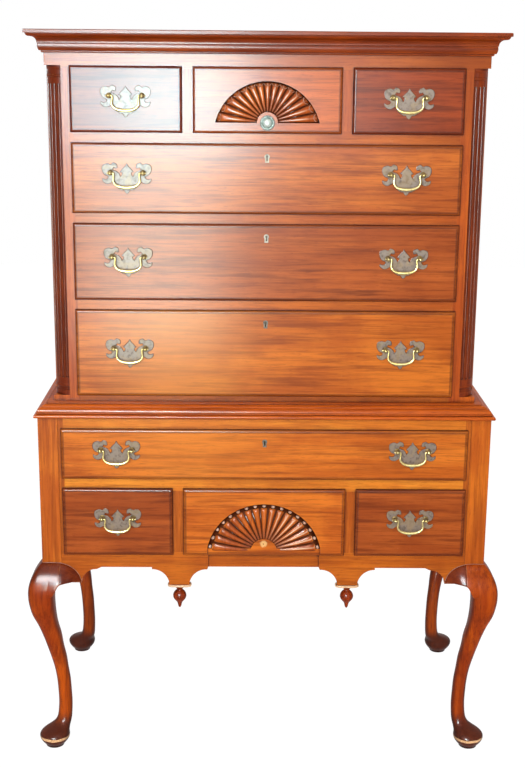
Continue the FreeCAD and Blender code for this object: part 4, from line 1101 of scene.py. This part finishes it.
# pulls: bat-wing plates, turned posts and swan-neck bails
pullSettings = {
    "bore": 69.85, "plateThick": 1.5, "chamfer": 0.55, "edgeShare": 0.67, "postReach": 11.0,
    "bailDrop": 31.0,
    # right half of the plate's outline from its top; 1 marks a sharp point
    "outline": [(0.0, 19.3, 1), (3.2, 13.6, 0), (8.1, 8.8, 0), (13.9, 2.0, 1), (10.2, 0.8, 0),
                (9.4, -1.6, 0), (10.6, -6.0, 0), (14.0, -9.2, 1), (16.2, -3.4, 0), (20.6, 1.6, 0),
                (26.4, 4.0, 0), (31.6, 6.4, 1), (27.6, 11.6, 1), (24.0, 9.8, 0), (20.6, 10.4, 1),
                (20.8, 15.0, 0), (22.8, 18.8, 0), (29.4, 21.2, 1), (33.0, 17.8, 0), (36.4, 17.2, 0),
                (40.6, 18.8, 0), (44.6, 18.4, 0), (49.4, 16.4, 0), (52.2, 13.0, 0), (53.0, 7.0, 0),
                (51.6, 1.6, 0), (47.6, -4.0, 0), (41.6, -6.6, 0), (38.6, -9.0, 1), (41.4, -13.4, 0),
                (46.2, -14.8, 0), (52.2, -12.6, 1), (51.8, -17.4, 0), (49.0, -20.8, 0),
                (44.4, -23.4, 0), (38.8, -23.6, 0), (33.4, -20.6, 0), (28.6, -17.4, 1),
                (26.0, -24.8, 0), (22.4, -29.2, 0), (17.0, -33.6, 0), (10.4, -37.8, 1),
                (7.0, -37.0, 0), (4.6, -39.6, 0), (2.8, -42.6, 0), (0.0, -44.6, 1)],
    # radius, distance in front of the plate
    "post": [(6.2, 0.0), (6.2, 0.9), (5.2, 1.6), (3.6, 2.6), (3.3, 4.4), (4.4, 5.8), (5.1, 7.4),
             (5.3, 10.0), (5.1, 13.6), (4.5, 15.2), (3.4, 15.8), (2.6, 15.2), (0.1, 15.0)],
    "button": [(2.3, 14.8), (2.2, 16.0), (1.4, 16.7), (0.1, 16.9)],
    # bolt behind the post, from within the plate to past the nut
    "boltHalf": 1.7, "boltStart": 1.0, "boltEnd": 4.0,
    "nut": [(5.2, 0.0), (5.6, 0.6), (5.6, 2.4), (4.8, 3.2)],
    # across, down, radius
    "bail": [(41.7, 0.0, 1.8), (34.9, 0.0, 1.9), (30.6, 0.0, 1.9), (28.2, -0.9, 2.0),
             (27.4, -3.4, 2.0), (27.9, -8.4, 1.9), (28.6, -13.6, 2.0), (28.2, -18.6, 2.2),
             (25.2, -23.6, 2.5), (19.6, -27.6, 2.8), (10.6, -30.2, 3.2), (0.0, -31.0, 3.5)],
    "bailPoints": 14, "postPoints": 20, "buttonPoints": 14, "nutPoints": 6,
    # keyhole under the front's top edge, with its lock case: half width, depth and height
    "keyDrop": 27.0, "keyRadius": 5.6, "keySlot": 4.2, "keyLength": 12.6, "keyWall": 3.0,
    "keySteps": 16, "keyDeep": 6.0, "keyOut": 0.3, "lockCase": (30.0, 9.0, 34.0),
    # these drawers' keyholes get the paler copy: painted glare
    "paleKeys": ("upper_first", "upper_second"),
    # painted shadow: thin dark seam about a plate
    "dirtThick": 0.3, "dirtReach": 0.9,
}


# curve through the outline's points, with straight runs into the sharp ones
def plateOutline(rows):
    full = rows + [(-x, z, sharp) for x, z, sharp in reversed(rows[1:-1])]
    count = len(full)
    points = []
    for i in range(count):
        before, a, b, after = (full[(i + k) % count] for k in (-1, 0, 1, 2))
        run = (b[0] - a[0], b[1] - a[1])
        slopeA = run if a[2] else ((b[0] - before[0]) / 2, (b[1] - before[1]) / 2)
        slopeB = run if b[2] else ((after[0] - a[0]) / 2, (after[1] - a[1]) / 2)
        for step in range(3):
            t = step / 3
            points.append(tuple(
                (2 * t ** 3 - 3 * t * t + 1) * a[k] + (t ** 3 - 2 * t * t + t) * slopeA[k]
                + (3 * t * t - 2 * t ** 3) * b[k] + (t ** 3 - t * t) * slopeB[k] for k in (0, 1)))
    return points


# flat plate with a chamfered front edge, grown beyond its outline
def plateShell(s, outline, x, face, z, thick, grow=0.0):
    count = len(outline)
    inner, wide = [], []
    for i in range(count):
        ax, az = outline[i - 1]
        bx, bz = outline[(i + 1) % count]
        dx, dz = bx - ax, bz - az
        size = math.hypot(dx, dz) or 1.0
        for points, out in ((inner, grow - s["chamfer"]), (wide, grow)):
            points.append((outline[i][0] - out * dz / size, outline[i][1] + out * dx / size))
    layers = (wide, 0.0), (wide, thick * s["edgeShare"]), (inner, thick)
    return skinRings([[(x + px, face - deep, z + pz) for px, pz in points]
                      for points, deep in layers])


def bailShell(s, x, y, z):
    path = flow(s["bail"], 4)
    path += [(-across, up, radius) for across, up, radius in reversed(path[:-1])]
    return barShell(path, s["bailPoints"], lambda a, b, h: (x + a, y + h, z + b))


# liner of the keyhole: a ring with a slot hanging from it
def keyShell(s, face, z):
    def around(grow):
        r, half, low = s["keyRadius"] + grow, s["keySlot"] + grow, s["keyLength"] + grow
        start = math.asin(min(half / r, 1.0))
        points = [(-half, -low), (half, -low)]
        for k in range(s["keySteps"] + 1):
            angle = -math.pi / 2 + start + (2 * math.pi - 2 * start) * k / s["keySteps"]
            points.append((r * math.cos(angle), r * math.sin(angle)))
        return points

    outer, inner = around(0.0), around(-s["keyWall"])
    deep, front = face + s["keyDeep"], face - s["keyOut"]
    verts, faces = skinRings([[(px, y, z + pz) for px, pz in points] for points, y in (
        (outer, deep), (outer, front), (inner, front), (inner, deep))])
    return verts, faces[:-2]


# posts with their bolts and nuts, and the buttons on them
def addPosts(s, x, face, back, z, posts, buttons):
    bolt, plate = s["boltHalf"], face - s["plateThick"]
    for side in (-1, 1):
        px = x + side * s["bore"] / 2
        posts.append(turnedShell(flow(s["post"], 2), (px, plate, z), (0, -1, 0), s["postPoints"]))
        buttons.append(turnedShell(s["button"], (px, plate, z), (0, -1, 0), s["buttonPoints"]))
        posts.append(boxShell(px - bolt, px + bolt, face - s["boltStart"], back + s["boltEnd"],
                              z - bolt, z + bolt))
        posts.append(turnedShell(s["nut"], (px, back, z), (0, 1, 0), s["nutPoints"]))


def makePulls(s):
    outline = plateOutline(s["outline"])
    for name in [n for n in nodes if n.endswith("_brass")]:
        drawer = name[:-6]
        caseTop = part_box(name)[1][2] / mm
        frontLow, frontHigh = (Vector(v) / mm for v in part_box(drawer + "_front"))
        face, back = frontLow.y, frontHigh.y
        plates, posts, buttons, shadowSheets, keys = [], [], [], [], []
        for bailName in [n for n in nodes if n.startswith(drawer + "_bail")]:
            bailLow, bailHigh = (Vector(v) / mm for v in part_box(bailName))
            x = (bailLow.x + bailHigh.x) / 2
            z = bailLow.z + s["bailDrop"] + s["bail"][-1][2]
            plates.append(plateShell(s, outline, x, face, z, s["plateThick"]))
            # painted shadow: a thin dark sheet just larger than the plate
            shadowSheets.append(plateShell(s, outline, x, face, z, s["dirtThick"], s["dirtReach"]))
            addPosts(s, x, face, back, z, posts, buttons)
            bail = joinShells(bailName + "Smooth", [
                bailShell(s, x, face - s["plateThick"] - s["postReach"], z)])
            setMaterial(bail, brasses["bailBrass"])
            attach(bail, bailName)
            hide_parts(bailName)
        if len(plates) == 2:
            half, deep, tall = s["lockCase"]
            keys.append(keyShell(s, face, frontHigh.z - s["keyDrop"]))
            plates.append(boxShell(-half, half, back, back + deep, caseTop - tall, caseTop))
        keyFinish = "keyBrass" if drawer in s["paleKeys"] else "keyDull"
        for label, shells, finish, smooth in (
                ("Plates", plates, brasses["plateBrass"], False),
                ("Posts", posts, brasses["postBrass"], True),
                ("Buttons", buttons, brasses["bailBrass"], True),
                ("Keyhole", keys, brasses[keyFinish], False),
                ("PlateDirt", shadowSheets, woodOf("fanGround"), False)):
            if not shells:
                continue
            piece = joinShells(drawer + label, shells, smooth)
            setMaterial(piece, finish)
            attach(piece, drawer)
            if label == "PlateDirt":
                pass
            else:
                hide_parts(name)


makePulls(pullSettings)
print("pulls ready")

# carved fans: rounded ribs laid over the drawer fronts' own, with the upper ones bitten at the rim
fanCommon = {
    # ribs: room at the rim and between them, steps across and along, and depth of their foot
    "rimRoom": 0.9, "ribGap": math.radians(0.3), "halfSteps": 8, "ribSteps": 12, "under": 0.5,
    # their swelling along and across, and the shoulder at the outer end
    "crest": 0.62, "riseCurve": 0.9, "sinkCurve": 1.6, "sinkTo": 0.1, "lift": 0.15,
    "crown": (2.3, 0.55), "shoulderFrom": 0.93, "shoulderDrop": 0.30,
    # line round a bite, pale as a painted highlight: half its arc, radius, and how far it stands in
    # from the rib's edge and face
    "biteArc": math.radians(68), "biteSteps": 12, "linePoints": 8, "lineRadius": 0.7,
    "lineIn": 0.5, "lineSunk": 0.9,
    # dark ground between the ribs: a sheet of painted shade
    "groundSteps": 90, "groundThick": 0.25, "groundNear": 1.0, "groundRim": 0.5,
    # beads, pale as a painted highlight: width and height for their size, steps up and points
    # round, and how far they sit in
    "beadWide": 1.02, "beadHigh": 1.25, "beadSteps": 6, "beadPoints": 14, "beadIn": 0.4,
    "beadSunk": 0.6,
}
fanSettings = {
    "top_centre_front": {
        "wood": "ribWood", "label": "upperFan", "half": 112.0, "height": 87.0, "hubZ": 1461.8,
        "hubDrop": 0.0, "floor": -234.0, "near": 22.0, "rimGap": 1.2, "bite": 9.2, "ribs": 15,
        "rise": 5.0, "peak": 6.5, "bead": 0.0},
    "lower_centre_front": {
        "wood": "ribWood", "label": "lowerFan", "half": 129.5, "height": 108.5, "hubZ": 499.6,
        "hubDrop": 7.0, "floor": -271.0, "near": 29.5, "rimGap": 10.5, "bite": 0.0, "ribs": 17,
        "rise": 5.0, "peak": 5.9, "bead": 4.7},
}


def rimDistance(s, angle):
    radius = (s["half"] ** 2 + s["height"] ** 2) / (2 * s["height"])
    drop = radius - s["height"] - s["hubDrop"]
    rise = drop * math.sin(angle)
    return -rise + math.sqrt(rise * rise + radius * radius - drop * drop)


def fanPoint(s, angle, out, offset, height):
    c, n = math.cos(angle), math.sin(angle)
    return out * c - offset * n, s["floor"] - height, s["hubZ"] + out * n + offset * c


# a rib swells to a peak before it sinks to the rim
def ribHeight(s, t, low):
    crest = s["crest"]
    if t < crest:
        return low + (s["peak"] - low) * math.sin(math.pi / 2 * t / crest) ** s["riseCurve"]
    sink = s["peak"] - s["rise"] - s["sinkTo"]
    return s["peak"] - sink * ((t - crest) / (1 - crest)) ** s["sinkCurve"]


def ribShell(s, angle, rim):
    spread = math.tan(math.pi / s["ribs"] / 2 - s["ribGap"])
    half, steps, end = s["halfSteps"], s["ribSteps"], s["shoulderFrom"]
    power, root = s["crown"]
    across = [math.sin(math.pi / 2 * k / half) for k in range(-half, half + 1)]
    full = rim - s["rimGap"]
    rings = []
    for step in range(steps + 1):
        t = step / steps
        shoulder = 1.0 - s["shoulderDrop"] * max(0.0, (t - end) / (1 - end)) ** 2
        height = ribHeight(s, t, s["rise"] * s["near"] / full) * shoulder
        ring = []
        for u in across:
            far = full
            if s["bite"]:
                inside = s["bite"] ** 2 - (u * full * spread) ** 2
                far = min(full, rim - s["rimRoom"] - math.sqrt(max(inside, 0.0)))
            out = s["near"] + (far - s["near"]) * t
            crown = (1 - min(abs(u), 1.0) ** power) ** root
            ring.append(fanPoint(s, angle, out, u * out * spread, s["lift"] + height * crown))
        out = s["near"] + (full - s["near"]) * t
        for side in (spread, -spread):
            ring.append(fanPoint(s, angle, out - s["under"], side * out, -s["under"]))
        rings.append(ring)
    return skinRings(rings)


# thin raised line round a bite, pale as a painted highlight
def biteShell(s, angle, rim):
    reach, path = s["bite"] - s["lineIn"], []
    for k in range(s["biteSteps"] + 1):
        turn = s["biteArc"] * (2 * k / s["biteSteps"] - 1)
        path.append((rim - s["rimRoom"] - reach * math.cos(turn), reach * math.sin(turn),
                     s["lineRadius"]))
    level = s["rise"] - s["lineSunk"]
    return barShell(path, s["linePoints"], lambda a, b, h: fanPoint(s, angle, a, b, level + h))


# the dark ground that the ribs stand on, from near the hub to the rim: a sheet of painted shade
def groundShell(s):
    rings = []
    for k in range(s["groundSteps"] + 1):
        angle = math.pi * k / s["groundSteps"]
        near, rim = s["near"] - s["groundNear"], rimDistance(s, angle) - s["groundRim"]
        rings.append([fanPoint(s, angle, out, 0.0, height) for out, height in (
            (near, 0.0), (rim, 0.0), (rim, s["groundThick"]), (near, s["groundThick"]))])
    return skinRings(rings)


def beadShell(s, angle, rim):
    place = fanPoint(s, angle, rim - s["bead"] - s["beadIn"], 0.0, -s["beadSunk"])
    wide, high = s["bead"] * s["beadWide"], s["bead"] * s["beadHigh"]
    quarter = [math.pi / 2 * k / s["beadSteps"] for k in range(s["beadSteps"] + 1)]
    profile = [(wide * math.cos(turn), high * math.sin(turn)) for turn in quarter]
    return turnedShell(profile, place, (0, -1, 0), s["beadPoints"])


def makeFan(front, s):
    ribs, trims = [], []
    for i in range(s["ribs"]):
        angle = math.pi / s["ribs"] * (i + 0.5)
        rim = rimDistance(s, angle)
        ribs.append(ribShell(s, angle, rim))
        trims.append(biteShell(s, angle, rim) if s["bite"] else beadShell(s, angle, rim))
    wood = makeMahogany(s["label"] + "Wood", woodSettings[s["wood"]], polishSettings,
                        fan=fanPlaces[front])
    # bite lines and beads are pale: painted highlight
    trim = woodOf("rubbedWood") if s["bite"] else woodOf("beadWood")
    for label, shells, finish in (("Ribs", ribs, wood), ("Trim", trims, trim),
                                  ("Ground", [groundShell(s)], woodOf("fanGround"))):
        piece = joinShells(s["label"] + label, shells)
        setMaterial(piece, finish)
        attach(piece, front[:-6])


for front, s in fanSettings.items():
    makeFan(front, {**fanCommon, **s})
print("fans ready")

# rosette under the upper fan: a turned ring round a pale domed boss, on a square bolt
rosetteSettings = {
    "z": 1461.8, "face": -240.0, "boltHalf": 1.7, "boltStart": 1.0, "boltEnd": 17.0, "points": 48,
    # radius, distance in front of the drawer
    "ring": [(15.5, 0.0), (15.6, 1.2), (15.0, 2.6), (13.6, 3.8), (12.4, 4.4), (11.4, 3.4),
             (10.6, 2.6), (9.9, 3.6), (9.4, 5.6), (8.4, 6.2)],
    "boss": [(8.4, 5.6), (8.2, 7.4), (7.2, 8.8), (5.4, 9.8), (3.0, 10.5), (0.1, 10.8)],
}


def makeRosette(s):
    face, z, bolt = s["face"], s["z"], s["boltHalf"]
    ring, boss = (turnedShell(flow(s[k], 3), (0.0, face, z), (0, -1, 0), s["points"])
                  for k in ("ring", "boss"))
    shank = boxShell(-bolt, bolt, face - s["boltStart"], face + s["boltEnd"], z - bolt, z + bolt)
    for label, shells, finish in (("rosetteRing", [ring, shank], "rosetteBrass"),
                                  ("rosetteBoss", [boss], "rosettePale")):
        piece = joinShells(label, shells)
        setMaterial(piece, brasses[finish])
        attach(piece, "top_centre")
        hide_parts("top_centre_knob")


makeRosette(rosetteSettings)
print("rosette ready")
